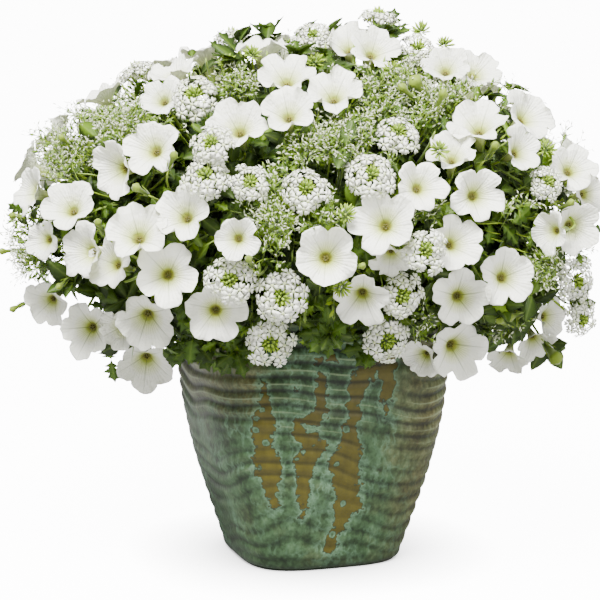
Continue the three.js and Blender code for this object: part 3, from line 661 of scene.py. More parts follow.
def add_node(tree: Tree, kind: str, settings: dict | None = None, links: dict | None = None) -> Node:
    """Adds a node.

    Args:
        tree: the material's or world's tree.
        kind: Blender's name for the kind of node.
        settings: the node's own properties by name, "stops" of a colour ramp as (place, hex) pairs, and
            values of its input sockets by name or number.
        links: what feeds its input sockets, by name or number.
    Returns:
        The node.
    """
    node = tree.nodes.new(kind)
    for key, value in (settings or {}).items():
        if key == "stops":
            while len(node.color_ramp.elements) < len(value):
                node.color_ramp.elements.new(1.0)
            for element, (place, colour) in zip(node.color_ramp.elements, value):
                element.position = place
                element.color = linear(colour)
        elif isinstance(key, str) and hasattr(node, key):
            setattr(node, key, value)
        else:
            node.inputs[key].default_value = value
    for key, socket in (links or {}).items():
        tree.links.new(socket, node.inputs[key])
    return node


class Step(Enum):
    """The steps of a finish: each one's kind of node, settings, inputs that are fed in order, and result."""

    VALUE = ("ShaderNodeAttribute", {}, ("attribute_name",), "Fac")  # one that the mesh carries
    RAMP = ("ShaderNodeValToRGB", {}, (0,), 0)
    MIX = ("ShaderNodeMix", {"data_type": "RGBA"}, (0, 6, 7), 2)
    RELIEF = ("ShaderNodeBump", {"Strength": 1.0}, ("Height", "Distance"), 0)
    ADD = ("ShaderNodeMath", {"operation": "ADD"}, (0, 1), 0)
    SUBTRACT = ("ShaderNodeMath", {"operation": "SUBTRACT"}, (0, 1), 0)
    TIMES = ("ShaderNodeMath", {"operation": "MULTIPLY"}, (0, 1), 0)
    POWER = ("ShaderNodeMath", {"operation": "POWER"}, (0, 1), 0)
    MINIMUM = ("ShaderNodeMath", {"operation": "MINIMUM"}, (0, 1), 0)
    SINE = ("ShaderNodeMath", {"operation": "SINE"}, (0,), 0)
    ABSOLUTE = ("ShaderNodeMath", {"operation": "ABSOLUTE"}, (0,), 0)
    LINE = ("ShaderNodeMath", {"operation": "MULTIPLY_ADD"}, (0, 1, 2), 0)
    SHARE = ("ShaderNodeMath", {"operation": "MULTIPLY_ADD", "use_clamp": True}, (0, 1, 2), 0)


class Finish:
    """A finish over a surface, made once and shared."""

    made: dict[str, bpy.types.Material] = {}

    def material(self) -> bpy.types.Material:
        """The finish's material."""
        name = repr(self)
        if name not in Finish.made:
            material = bpy.data.materials.new(type(self).__name__)
            material.use_nodes = True
            material.node_tree.nodes.clear()
            output = add_node(material.node_tree, "ShaderNodeOutputMaterial")
            material.node_tree.links.new(self.shader(material.node_tree), output.inputs["Surface"])
            Finish.made[name] = material
        return Finish.made[name]

    def shader(self, tree: Tree) -> Socket:
        """Builds the finish's shader and gives its socket."""
        raise NotImplementedError

    @staticmethod
    def step(tree: Tree, step: Step, *parts: Socket | float | str, **settings: object) -> Socket:
        """Adds a step of the finish.

        Args:
            tree: the finish's tree.
            step: what it does.
            *parts: what feeds its inputs, in order: sockets, numbers, hex colours or a value's name.
            **settings: the node's own properties, by name.
        Returns:
            Its result.
        """
        kind, fixed, inputs, result = step.value
        values: dict = fixed | settings
        links: dict = {}
        for key, part in zip(inputs, parts):
            if isinstance(part, Socket):
                links[key] = part
            else:
                values[key] = linear(part) if str(part).startswith("#") else part
        return add_node(tree, kind, values, links).outputs[result]

    @staticmethod
    def clouds(tree: Tree, size_mm: float, stretch: tuple[float, float, float] = (1, 1, 1)) -> Socket:
        """Cloudy unevenness whose patches are about this size."""
        place = add_node(tree, "ShaderNodeTexCoord").outputs["Object"]
        if stretch != (1, 1, 1):
            place = add_node(tree, "ShaderNodeMapping", {"Scale": stretch}, {"Vector": place}).outputs[0]
        settings = {"Scale": 1 / (size_mm * TO_METRES), "Detail": 3.0, "Roughness": 0.55}
        return add_node(tree, "ShaderNodeTexNoise", settings, {"Vector": place}).outputs["Fac"]


@dataclass(frozen=True)
class ThinTissue(Finish):
    """Living plant tissue, so thin that light from behind comes through: petals, bracts and leaves."""

    roughness: float = 0.55
    ior: float = 1.4
    through: float = 0.25  # the share of light that comes from behind
    sheen: float = 0.0

    def tissue(self, tree: Tree, colour: Socket, behind: Socket, normal: Socket | None = None) -> Socket:
        """Skin that is lit from in front, mixed with flesh that is lit from behind."""
        settings = {"Roughness": self.roughness, "IOR": self.ior, "Sheen Weight": self.sheen}
        links = {"Base Color": colour} | ({"Normal": normal} if normal else {})
        face = add_node(tree, "ShaderNodeBsdfPrincipled", settings, links)
        glow = add_node(tree, "ShaderNodeBsdfTranslucent", {}, {"Color": behind})
        sides = {1: face.outputs[0], 2: glow.outputs[0]}
        return add_node(tree, "ShaderNodeMixShader", {0: self.through}, sides).outputs[0]


@dataclass(frozen=True)
class PetuniaCorolla(ThinTissue):
    """White petunia petals: soft, matt and a little velvety, with a yellow-green throat that runs out in
    fine grey-green veins, and a greenish tube behind."""

    roughness: float = 0.5
    through: float = 0.3
    sheen: float = 0.15
    fan_turn: float = 12.6  # radians of the fan of veins from a lobe's middle to its edge
    crinkle_mm: float = 5.0
    crinkle_depth_mm: float = 1.1

    def shader(self, tree: Tree) -> Socket:
        """Petal colour by how far out and how far from a lobe's middle a point lies, and its crinkles."""
        reach, across = (self.step(tree, Step.VALUE, name) for name in ("reach", "across"))
        fade = self.step(tree, Step.SHARE, reach, -1.5, 1.5)
        wave = self.step(tree, Step.SINE, self.step(tree, Step.TIMES, across, self.fan_turn))
        fan = self.step(tree, Step.ABSOLUTE, wave)
        face = self.face(tree, reach, across, fade, fan)
        tube = self.tube(tree, reach, across, fade)
        colour = self.step(tree, Step.MIX, self.step(tree, Step.VALUE, "back"), face, tube)
        pleats = self.step(tree, Step.TIMES, fan, 0.4)
        crepe = self.step(tree, Step.LINE, self.clouds(tree, self.crinkle_mm), 2.0, pleats)
        lit = self.step(tree, Step.MIX, 0.5, colour, "#f2f4cf")
        normal = self.step(tree, Step.RELIEF, crepe, self.crinkle_depth_mm * TO_METRES)
        return self.tissue(tree, colour, lit, normal)

    def face(self, tree: Tree, reach: Socket, across: Socket, fade: Socket, fan: Socket) -> Socket:
        """The face: a yellow-green throat, a rib down each lobe, and a fan of fine veins near the throat."""
        stops = [(0.0, "#5c4e08"), (0.07, "#7c6e12"), (0.15, "#a8a428"), (0.24, "#ccd852"),
                 (0.32, "#e0ea94"), (0.44, "#f2f6cf"), (0.62, "#fafaf2")]
        face = self.step(tree, Step.RAMP, reach, stops=stops)
        spread = self.step(tree, Step.LINE, reach, -20.0, -3.0)
        rib = self.step(tree, Step.SHARE, across, spread, 1.0)
        fine = self.step(tree, Step.POWER, fan, 14.0)
        short = self.step(tree, Step.SHARE, reach, -2.6, 1.6)
        fine = self.step(tree, Step.TIMES, fine, short)
        veins = self.step(tree, Step.ADD, self.step(tree, Step.TIMES, rib, fade), fine)
        marked = self.step(tree, Step.LINE, self.step(tree, Step.VALUE, "shade"), 0.5, 0.7)
        veins = self.step(tree, Step.TIMES, veins, marked, use_clamp=True)
        out = self.step(tree, Step.TIMES, reach, 1.2, use_clamp=True)
        ink = self.step(tree, Step.MIX, out, "#6f7a10", "#78835a")
        return self.step(tree, Step.MIX, veins, face, ink)

    def tube(self, tree: Tree, reach: Socket, across: Socket, fade: Socket) -> Socket:
        """The back: a green tube that pales outwards, with a green rib down each lobe."""
        stops = [(0.0, "#7c8f2f"), (0.3, "#a9b75e"), (0.5, "#dfe5bf"), (0.75, "#f1f3e6")]
        tube = self.step(tree, Step.RAMP, reach, stops=stops)
        rib = self.step(tree, Step.SHARE, across, -9.0, 1.0)
        ribs = self.step(tree, Step.TIMES, self.step(tree, Step.TIMES, rib, fade), 0.8)
        return self.step(tree, Step.MIX, ribs, tube, "#71822c")


@dataclass(frozen=True)
class SmallPetal(ThinTissue):
    """Thin white petals and bracts, smooth and matt, that turn green towards their foot."""

    foot: str = "#b3c653"
    tip: str = "#fbfbf2"
    foot_share: float = 0.3

    def shader(self, tree: Tree) -> Socket:
        """Petal colour from foot to tip."""
        stops = [(0.0, self.foot), (self.foot_share, self.tip)]
        clean = self.step(tree, Step.RAMP, self.step(tree, Step.VALUE, "reach"), stops=stops)
        dull = self.step(tree, Step.MIX, self.step(tree, Step.VALUE, "shade"), "#dde5b8", clean)
        colour = self.step(tree, Step.MIX, 0.4, clean, dull)
        return self.tissue(tree, colour, colour)


@dataclass(frozen=True, kw_only=True)
class LeafBlade(ThinTissue):
    """A soft green leaf: a faint waxy gloss on top, sunk veins that catch less light, and a paler midrib."""

    deep: str
    mid: str
    fresh: str
    roughness: float = 0.42
    through: float = 0.28
    vein_count: float = 9.0

    def shader(self, tree: Tree) -> Socket:
        """Leaf colour by each leaf's own shade, cloudiness over it, and its veins."""
        reach, across, shade = (self.step(tree, Step.VALUE, name) for name in ("reach", "across", "shade"))
        cloud = self.step(tree, Step.LINE, self.clouds(tree, 9.0), 0.45, -0.22)
        tone = self.step(tree, Step.ADD, shade, cloud, use_clamp=True)
        stops = [(0.0, self.deep), (0.45, self.mid), (1.0, self.fresh)]
        flesh = self.step(tree, Step.RAMP, tone, stops=stops)
        slant = self.step(tree, Step.LINE, across, -0.35, reach)
        ripple = self.step(tree, Step.SINE, self.step(tree, Step.TIMES, slant, self.vein_count * TURN))
        side_vein = self.step(tree, Step.POWER, self.step(tree, Step.ABSOLUTE, ripple), 9.0)
        midrib = self.step(tree, Step.SHARE, across, -7.0, 1.0)
        veins = self.step(tree, Step.LINE, side_vein, 0.3, self.step(tree, Step.TIMES, midrib, 0.6))
        colour = self.step(tree, Step.MIX, self.step(tree, Step.TIMES, veins, 0.4), flesh, "#84993c")
        behind = self.step(tree, Step.MIX, 0.5, colour, "#86a006")
        sunk = self.step(tree, Step.TIMES, veins, -1.0)
        return self.tissue(tree, colour, behind, self.step(tree, Step.RELIEF, sunk, 0.5 * TO_METRES))


@dataclass(frozen=True)
class GreenStem(ThinTissue):
    """Sappy green stems, sepals, buds and anthers, with a soft sheen of fine hairs."""

    foot: str = "#4a650a"
    tip: str = "#93ac2c"
    through: float = 0.12
    sheen: float = 0.2

    def shader(self, tree: Tree) -> Socket:
        """Stem colour from foot to tip, a little uneven."""
        along = self.step(tree, Step.LINE, self.clouds(tree, 6.0), 0.4, self.step(tree, Step.VALUE, "reach"))
        tone = self.step(tree, Step.SUBTRACT, along, 0.2, use_clamp=True)
        colour = self.step(tree, Step.MIX, tone, self.foot, self.tip)
        return self.tissue(tree, colour, colour)


@dataclass(frozen=True)
class PaintedShadeCore(Finish):
    """The shaded inside of the bush, standing for old leaves and stems: its dark colour is painted shade, and
    it has no gloss.
    """

    roughness: float = 0.9

    def shader(self, tree: Tree) -> Socket:
        """Patches of dark green and brown: painted shade."""
        # Painted shade: these dark colours stand for the shade inside the bush.
        stops = [(0.3, "#131f05"), (0.5, "#26400a"), (0.62, "#38540f"), (0.75, "#3c3b16")]
        patches = self.clouds(tree, 14.0)
        colour = self.step(tree, Step.RAMP, patches, stops=stops)
        lumps = self.step(tree, Step.RELIEF, self.clouds(tree, 6.0), 5.0 * TO_METRES)
        links = {"Base Color": colour, "Normal": lumps}
        return add_node(tree, "ShaderNodeBsdfPrincipled", {"Roughness": self.roughness}, links).outputs[0]


@dataclass(frozen=True)
class PeatMix(Finish):
    """Damp peat and composted bark: matt, crumbly, nearly black-brown."""

    roughness: float = 0.95

    def shader(self, tree: Tree) -> Socket:
        """Crumbs of darker and paler brown."""
        stops = [(0.3, "#140d07"), (0.55, "#2e2013"), (0.8, "#4d3a25")]
        crumbs = self.clouds(tree, 2.5)
        colour = self.step(tree, Step.RAMP, crumbs, stops=stops)
        links = {"Base Color": colour, "Normal": self.step(tree, Step.RELIEF, crumbs, 1.5 * TO_METRES)}
        return add_node(tree, "ShaderNodeBsdfPrincipled", {"Roughness": self.roughness}, links).outputs[0]


@dataclass(frozen=True)
class DripGlaze(Finish):
    """A satin glaze on stoneware that has run in the kiln. Glaze gathers dark in the grooves, and painted
    shade darkens them more towards the rim; it breaks pale on the ridges, and a painted highlight lies along
    their upper crests.
    Where it has run off, ochre shows inside a thin dark line and a pale halo.
    The mesh gives reach (0 foot to 1 rim), across (0 groove to 1 crest), back (how deep inside a run a point
    lies, in tens of millimetres) and shade (how olive the glaze is there)."""

    roughness: float = 0.46
    specular: float = 0.24
    fleck_mm: float = 4.5
    streak_mm: float = 26.0
    island_cells: float = 58.0  # cells in a metre
    relief_mm: float = 0.5

    def shader(self, tree: Tree) -> Socket:
        """The glaze, its runs and their edges, painted shade over the glaze that gathers in the grooves, and
        darker colour at the foot.
        """
        names = ("reach", "across", "back", "shade")
        reach, crest, run, olive = (self.step(tree, Step.VALUE, name) for name in names)
        fine = self.clouds(tree, self.fleck_mm, (1.0, 1.0, 0.7))
        pale = self.step(tree, Step.MIX, self.clouds(tree, 3.0), "#3f5940", "#6d8e72")
        glaze = self.body(tree, fine, crest, olive)
        glaze = self.branches(tree, glaze, pale, olive)
        glaze = self.crests(tree, glaze, crest, reach)
        colour = self.runs(tree, glaze, pale, run)
        # Painted shade in the grooves: faint at the foot, strongest at the rim, where the mound shades the
        # pot.
        groove = self.step(tree, Step.SHARE, crest, -2.2, 1.0)
        groove = self.step(tree, Step.TIMES, groove, self.step(tree, Step.LINE, reach, 0.95, 0.1))
        colour = self.step(tree, Step.MIX, groove, colour, "#090e06")
        foot = self.step(tree, Step.SHARE, reach, -16.0, 1.0)
        colour = self.step(tree, Step.MIX, self.step(tree, Step.TIMES, foot, 0.8), colour, "#0d120a")
        settings = {"Roughness": self.roughness, "Specular IOR Level": self.specular}
        normal = self.step(tree, Step.RELIEF, fine, self.relief_mm * TO_METRES)
        links = {"Base Color": colour, "Normal": normal}
        return add_node(tree, "ShaderNodeBsdfPrincipled", settings, links).outputs[0]

    def body(self, tree: Tree, fine: Socket, crest: Socket, olive: Socket) -> Socket:
        """Mottled green that clouds over into olive, with rusty patches in the olive."""
        streaks = self.step(tree, Step.TIMES, self.clouds(tree, self.streak_mm, (1.0, 1.0, 0.5)), 0.5)
        tone = self.step(tree, Step.LINE, fine, 0.45, streaks)
        tone = self.step(tree, Step.LINE, crest, 0.12, tone)
        green, earthy = (
            self.step(tree, Step.RAMP, tone, stops=stops)
            for stops in (
                [(0.38, "#152310"), (0.5, "#273a21"), (0.62, "#3a5235"), (0.76, "#50694b")],
                [(0.38, "#282611"), (0.56, "#4b492a"), (0.78, "#74734f")],
            )
        )
        cloud = self.step(tree, Step.LINE, self.clouds(tree, 30.0), 1.2, -0.6)
        share = self.step(tree, Step.ADD, olive, cloud, use_clamp=True)
        glaze = self.step(tree, Step.MIX, share, green, earthy)
        patches = self.clouds(tree, 17.0, (1, 1, 0.7))
        rust = self.step(tree, Step.SHARE, patches, 7.0, -4.3)
        rust = self.step(tree, Step.TIMES, rust, self.step(tree, Step.TIMES, olive, 0.8))
        return self.step(tree, Step.MIX, rust, glaze, "#33190f")

    def branches(self, tree: Tree, glaze: Socket, pale: Socket, olive: Socket) -> Socket:
        """Pale veins that branch through patches of the green."""
        ridge = self.step(tree, Step.SUBTRACT, self.clouds(tree, 15.0, (1, 1, 0.6)), 0.5)
        branch = self.step(tree, Step.SHARE, self.step(tree, Step.ABSOLUTE, ridge), -15.0, 1.0)
        patch = self.step(tree, Step.SHARE, self.clouds(tree, 38.0), 5.0, -2.2)
        plain = self.step(tree, Step.SUBTRACT, 1.0, olive)
        share = self.step(tree, Step.TIMES, self.step(tree, Step.TIMES, branch, patch), plain)
        return self.step(tree, Step.MIX, self.step(tree, Step.TIMES, share, 0.8), glaze, pale)

    def crests(self, tree: Tree, glaze: Socket, crest: Socket, reach: Socket) -> Socket:
        """A thin pale line on the crests of the upper part: the glaze breaking pale, and a painted highlight.
        """
        # Painted highlight along the upper crests, where the glaze also breaks pale.
        broken_glaze_and_highlight = self.step(tree, Step.SHARE, crest, 20.0, -19.0)
        high = self.step(tree, Step.SHARE, reach, 2.0, -0.7)
        broken_glaze_and_highlight = self.step(tree, Step.TIMES, broken_glaze_and_highlight, self.step(tree, Step.TIMES, high, 0.7))
        return self.step(tree, Step.MIX, broken_glaze_and_highlight, glaze, "#84926f")

    def runs(self, tree: Tree, glaze: Socket, pale: Socket, run: Socket) -> Socket:
        """Ragged runs of ochre with islands of glaze in them, a dark line round them, and a pale halo."""
        wear = self.step(tree, Step.LINE, self.clouds(tree, 13.0), 2.6, -1.3)
        ragged = self.step(tree, Step.LINE, self.clouds(tree, 4.0), 0.7, -0.35)
        edge = self.step(tree, Step.ADD, run, self.step(tree, Step.ADD, wear, ragged))
        place = add_node(tree, "ShaderNodeTexCoord").outputs["Object"]
        spots = {"Scale": self.island_cells, "Randomness": 1.0}
        cells = add_node(tree, "ShaderNodeTexVoronoi", spots, {"Vector": place})
        islands = self.step(tree, Step.LINE, cells.outputs["Distance"], 3.0, -0.72)
        edge = self.step(tree, Step.MINIMUM, edge, self.step(tree, Step.ADD, islands, ragged))
        off = self.step(tree, Step.ABSOLUTE, edge)
        halo = self.step(tree, Step.SHARE, off, -1.9, 1.15)
        glaze = self.step(tree, Step.MIX, self.step(tree, Step.TIMES, halo, 0.7), glaze, pale)
        ochre = self.step(tree, Step.MIX, self.clouds(tree, 8.0, (1, 1, 0.3)), "#332f08", "#544d14")
        inside = self.step(tree, Step.TIMES, edge, 22.0, use_clamp=True)
        colour = self.step(tree, Step.MIX, inside, glaze, ochre)
        line = self.step(tree, Step.SHARE, off, -9.0, 1.0)
        return self.step(tree, Step.MIX, self.step(tree, Step.TIMES, line, 0.8), colour, "#0c0a05")


# The pot and what fills it


@dataclass(frozen=True)
class GlazedPot:
    """The rounded-square stoneware pot. Its ridges wander, merge and split on their way round."""

    height: float = 286.0
    foot_half: float = 89.0
    rim_half: float = 140.0
    full_width_at: float = 250.0
    wall: float = 9.0
    floor: float = 13.0
    squareness: float = 3.4
    turn: float = math.radians(18)
    around: int = 256
    rows: int = 166
    ridge_pitch: float = 14.5
    ridge_depth: tuple[float, float] = (1.1, 3.6)  # at the foot and at the rim
    second_pitch: float = 14.5 * 1.22
    second_shift: float = 5.0
    wander: tuple[float, float] = (12.0, 3.6)
    crest_power: float = 0.7
    liner_gap: float = 2.0
    unseen: float = -99.0
    runs_half: float = 105.0
    # Runs of ochre, as (across, down, half width) in the picture, from the top of each run to its end
    runs: tuple[tuple[tuple[float, float, float], ...], ...] = (
        ((264, 378, 3), (265, 395, 4), (264, 408, 6), (264, 425, 12), (263, 445, 10), (268, 468, 12),
         (272, 490, 7), (274, 502, 4), (275, 512, 2)),
        ((294, 391, 3), (295, 404, 3)),
        ((320, 360, 3), (320, 372, 2), (322, 388, 4), (323, 402, 5), (322, 416, 4), (299, 422, 4),
         (302, 434, 8), (312, 446, 13), (306, 462, 12), (303, 480, 7), (304, 500, 7), (302, 516, 3)),
        ((334, 358, 6),),
        ((372, 355, 10), (366, 372, 9), (356, 390, 8), (354, 405, 6), (352, 425, 6), (350, 445, 10),
         (346, 462, 16), (345, 480, 14), (348, 500, 12), (340, 520, 8), (334, 534, 6), (330, 550, 4)),
        ((388, 360, 8), (386, 380, 7), (388, 398, 5), (386, 418, 3)),
    )

    def reach(self, angle: Array) -> Array:
        """How much further out a rounded square reaches than half its width."""
        across = np.abs(np.cos(angle - self.turn)) ** self.squareness
        along = np.abs(np.sin(angle - self.turn)) ** self.squareness
        return (across + along) ** (-1 / self.squareness)

    def half(self, height: Array | float) -> Array:
        """Half its width across the flats at a height."""
        climb = np.minimum(1, np.asarray(height) / self.full_width_at)
        return self.foot_half + (self.rim_half - self.foot_half) * np.sin(climb * math.pi / 2)

    def inner_half(self, height: float) -> float:
        """Half the width of its inside, which runs straight from the floor to half way and on to the rim."""
        marks = (self.floor, self.height / 2, self.height)
        halves = [self.half(mark) - self.wall - self.liner_gap for mark in marks]
        return float(np.interp(height, marks, halves))

    def ridges(self, angle: Array, height: Array) -> Array:
        """The relief from 0 in a groove to 1 on a crest: two ripples that swap places, so ridges split."""
        slow = self.wander[0] * Waves(3, (1, 3), 0.02)(angle, height)
        wander = slow + self.wander[1] * Waves(4, (3, 9), 0.05)(angle, height)
        share = smooth(0.5 + 1.1 * Waves(8, (1, 4), 0.025)(angle, height))
        one, two = (
            0.5 + 0.5 * np.cos(TURN * (height + wander + shift) / pitch)
            for pitch, shift in ((self.ridge_pitch, 0.0), (self.second_pitch, self.second_shift))
        )
        return ((1 - share) * one + share * two) ** self.crest_power

    def run_depth(self, points: Array) -> Array:
        """How deep inside a run each point lies, in tens of millimetres. The back has runs of its own."""
        behind = points[:, 1] > 0
        seen = np.where(behind[:, None], points * vec(-1, -1, 1), points)
        pixels = PICTURE.pixels(seen)
        depth = np.full(len(points), self.unseen)
        for run in self.runs:
            for (x0, y0, w0), (x1, y1, w1) in zip(run, run[1:] or run):
                way = vec(x1 - x0, y1 - y0)
                along = np.clip((pixels - vec(x0, y0)) @ way / max(way @ way, 1e-9), 0, 1)
                off = np.linalg.norm(pixels - vec(x0, y0) - along[:, None] * way, axis=1)
                depth = np.maximum(depth, w0 + (w1 - w0) * along - off)
        away = smooth((np.abs(points[:, 0]) - self.runs_half) / 25) * 10
        return (depth * PICTURE.mm_per_pixel - away) / 10

    def build(self) -> None:
        """Builds the pot's skin: foot, outside, rim and inside."""
        skin = Skin()
        angle = np.arange(self.around) * TURN / self.around
        rise = np.concatenate([[0, 0.6, 1.6, 3.0], np.linspace(4.5, self.height - 5, self.rows)])
        height, turn = np.meshgrid(rise, angle, indexing="ij")
        relief = self.ridges(turn, height)
        foot_round = 3.5 * (1 - smooth(height / 7)) ** 2
        climb = height / self.height
        depth = self.ridge_depth[0] + (self.ridge_depth[1] - self.ridge_depth[0]) * climb
        fade = smooth(height / 16) * smooth((self.height - 3 - height) / 9)
        half = self.half(height) - foot_round - depth * (1 - relief) * fade
        half += 1.2 * Waves(12, (1, 5), 0.02)(turn, height) * fade
        rim = [(self.rim_half - 0.6, self.height - 2.2), (self.rim_half - 2.6, self.height - 0.3),
               (self.rim_half - 5.5, self.height), (self.inner_half(self.height) + 1.2, self.height - 1)]
        heights = (self.height - 5, 240, 200, self.height / 2, 70, self.floor)
        inside = [(self.inner_half(z), z) for z in heights]
        across = np.concatenate([half, [np.full(self.around, row[0]) for row in rim + inside]])
        up = np.concatenate([height, [np.full(self.around, row[1]) for row in rim + inside]])
        rings = ring_at(angle, across * self.reach(angle), up)
        points = with_ends(0, rings, self.floor)
        crest = np.concatenate([(1 - (1 - relief) * fade).ravel(), np.ones(self.around * len(rim + inside))])
        skin.add(
            points,
            closed_rings(len(rings), self.around),
            reach=points[:, 2] / self.height,
            across=np.concatenate([[0], crest, [0]]),
            back=self.run_depth(points),
            shade=self.olive(points),
        )
        skin.piece("glazed_pot", [DripGlaze()], ["pot"])

    def olive(self, points: Array) -> Array:
        """How olive the glaze is: on its right third, high on its left, and in patches behind."""
        turn = np.arctan2(points[:, 1], points[:, 0])
        right = smooth((points[:, 0] - 60) / 70)
        left = smooth((points[:, 2] - 150) / 60) * smooth((-20 - points[:, 0]) / 50) * 0.75
        behind = smooth(0.5 + Waves(21, (1, 3), 0.01)(turn, points[:, 2])) * 0.7
        return np.where(points[:, 1] > 40, behind, np.maximum(right * 0.85, left))

    def touched_by(self, points: Array) -> Array:
        """Which points lie in the pot's wall or just outside it."""
        x, y, z = points.T
        out = np.hypot(x, y) / self.reach(np.arctan2(y, x))
        return (z < self.height + 3) & (out < self.half(z) + 4) & (out > self.inner_half(150))


@dataclass(frozen=True)
class PottingMix:
    """Loose mix that fills the pot, with crumbs of bark on it."""

    level: float = 258.0
    crown: float = 7.0
    gap: float = 0.5
    around: int = 96
    lumps: float = 1.3
    chips: int = 260
    chips_out: float = 118.0

    def build(self, pot: GlazedPot) -> None:
        """Builds the mix, clear of the pot's wall."""
        skin = Skin()
        angle = np.arange(self.around) * TURN / self.around
        heights = (pot.floor + self.gap, pot.height / 2, self.level)
        inner = [(pot.inner_half(z) - self.gap, z) for z in heights]
        shares = np.linspace(0.97, 0.05, 20)
        rows = inner + [(inner[-1][0] * share, self.level + self.crown * (1 - share**2)) for share in shares]
        uneven = Waves(31, (1, 12), 0.25, 24)
        rings = []
        for i, (half, height) in enumerate(rows):
            lump = uneven(angle, half + 0 * angle) * self.lumps if i >= len(inner) else 0
            rings.append(ring_at(angle, half * pot.reach(angle), height + lump))
        points = with_ends(pot.floor + self.gap, rings, self.level + self.crown)
        skin.add(points, closed_rings(len(rings), self.around))
        rng = np.random.default_rng(7)
        spread = np.sqrt(rng.uniform(0.02, 0.86, self.chips)) * self.chips_out
        turn = rng.uniform(0, TURN, self.chips)
        origins = ring_at(turn, spread, self.level + self.crown * (1 - (spread / 128) ** 2))
        profile = np.array([[0, -0.7], [2.2, -0.4], [1.9, 0.5], [0, 0.8]])
        chip = Part(lathe_points(profile, 5), closed_rings(2, 5))
        lean = turns_to(rng.normal(0, 0.5, (self.chips, 3)) + vec(0, 0, 1), turn)
        skin.stand(chip, origins, lean, rng.uniform(0.6, 1.9, self.chips), rng.uniform(0, 1, self.chips))
        skin.piece("peat_and_bark", [PeatMix()], ["potting_mix"])


# Flowers


def spindle(length: float, radius: float, sides: int, belly: float = 0.45, finish: int = 0) -> Part:
    """A closed spindle along +Z from the origin, widest at a share of its length."""
    profile = np.array([[0, 0], [0.62, 0.12], [1, belly], [0.7, 0.8], [0, 1]]) * [radius, length]
    values = {"reach": np.concatenate([[0], np.repeat(profile[1:-1, 1] / length, sides), [1]])}
    return Part(lathe_points(profile, sides), closed_rings(3, sides), finish, values)


def merged(part: Part, origins: Array, turns: Array, scales: Array | float) -> Part:
    """One part made of several copies of another."""
    skin = Skin()
    skin.stand(part, origins, turns, scales, 0.0)
    size = len(part.points)
    faces = [np.concatenate([some + i * size for i in range(len(origins))]) for some in part.faces]
    values = {name: np.tile(value, len(origins)) for name, value in part.values.items()}
    return Part(skin.points[0], faces, part.finish, values)


def lens_blade(
    outline: list[tuple[float, float]], length: float, width: float, *,
    arch: float = 0.0, fold: float = 0.0, thick: float = 0.7, finish: int = 0,
) -> Part:
    """A thin closed blade from the origin along +Y, facing +Z: two sloping halves that share their edges.

    Args:
        outline: (share of the length, share of the half width) rows between its foot and its tip.
        length: in millimetres.
        width: in millimetres.
        arch: how far the tip falls.
        fold: how far the edges rise.
        thick: its thickness along the middle.
        finish: the number of its finish.
    Returns:
        The blade.
    """
    share, half = np.array(outline).T
    y = share * length
    fall = -arch * share**2
    edge = np.column_stack([half * width / 2, y, fall + fold * half])
    top = np.column_stack([0 * y, y, fall])
    points = np.concatenate([
        [vec(0, 0, 0)], edge * [-1, 1, 1], top, edge, top - [0, 0, thick], [vec(0, length, -arch)],
    ])
    n = len(outline)
    left, mid, right, under = (1 + n * k + np.arange(n) for k in range(4))
    tip = 4 * n + 1
    strips = ((left, mid), (mid, right), (right, under), (under, left))
    quads = [np.stack([a[:-1], b[:-1], b[1:], a[1:]], -1) for a, b in strips]
    feet = np.array([[0, b[0], a[0]] for a, b in strips])
    tips = np.array([[a[-1], b[-1], tip] for a, b in strips])
    values = {
        "reach": np.concatenate([[0], share, share, share, share, [1]]),
        "across": np.concatenate([[0], half, 0 * half, half, 0 * half, [0.5]]),
    }
    return Part(points, [np.concatenate(quads), feet, tips], finish, values)


def stalk_middle(root: Array, end: Array, facing: Array) -> Array:
    """The point that draws a stalk's curve back along its facing."""
    return end - facing * 0.45 * np.linalg.norm(root - end)


def stalk(
    skin: Skin, root: Array, end: Array, facing: Array, radius: float, finish: int = 0, shade: float = 0.5
) -> None:
    """Adds a stalk that curves from its root to arrive at its end along a facing."""
    steps = 11
    path = bend(root, stalk_middle(root, end, facing), end, steps)
    radii = np.linspace(1.25, 1.0, steps) * radius
    skin.tube(path, radii, 6, finish, shade)


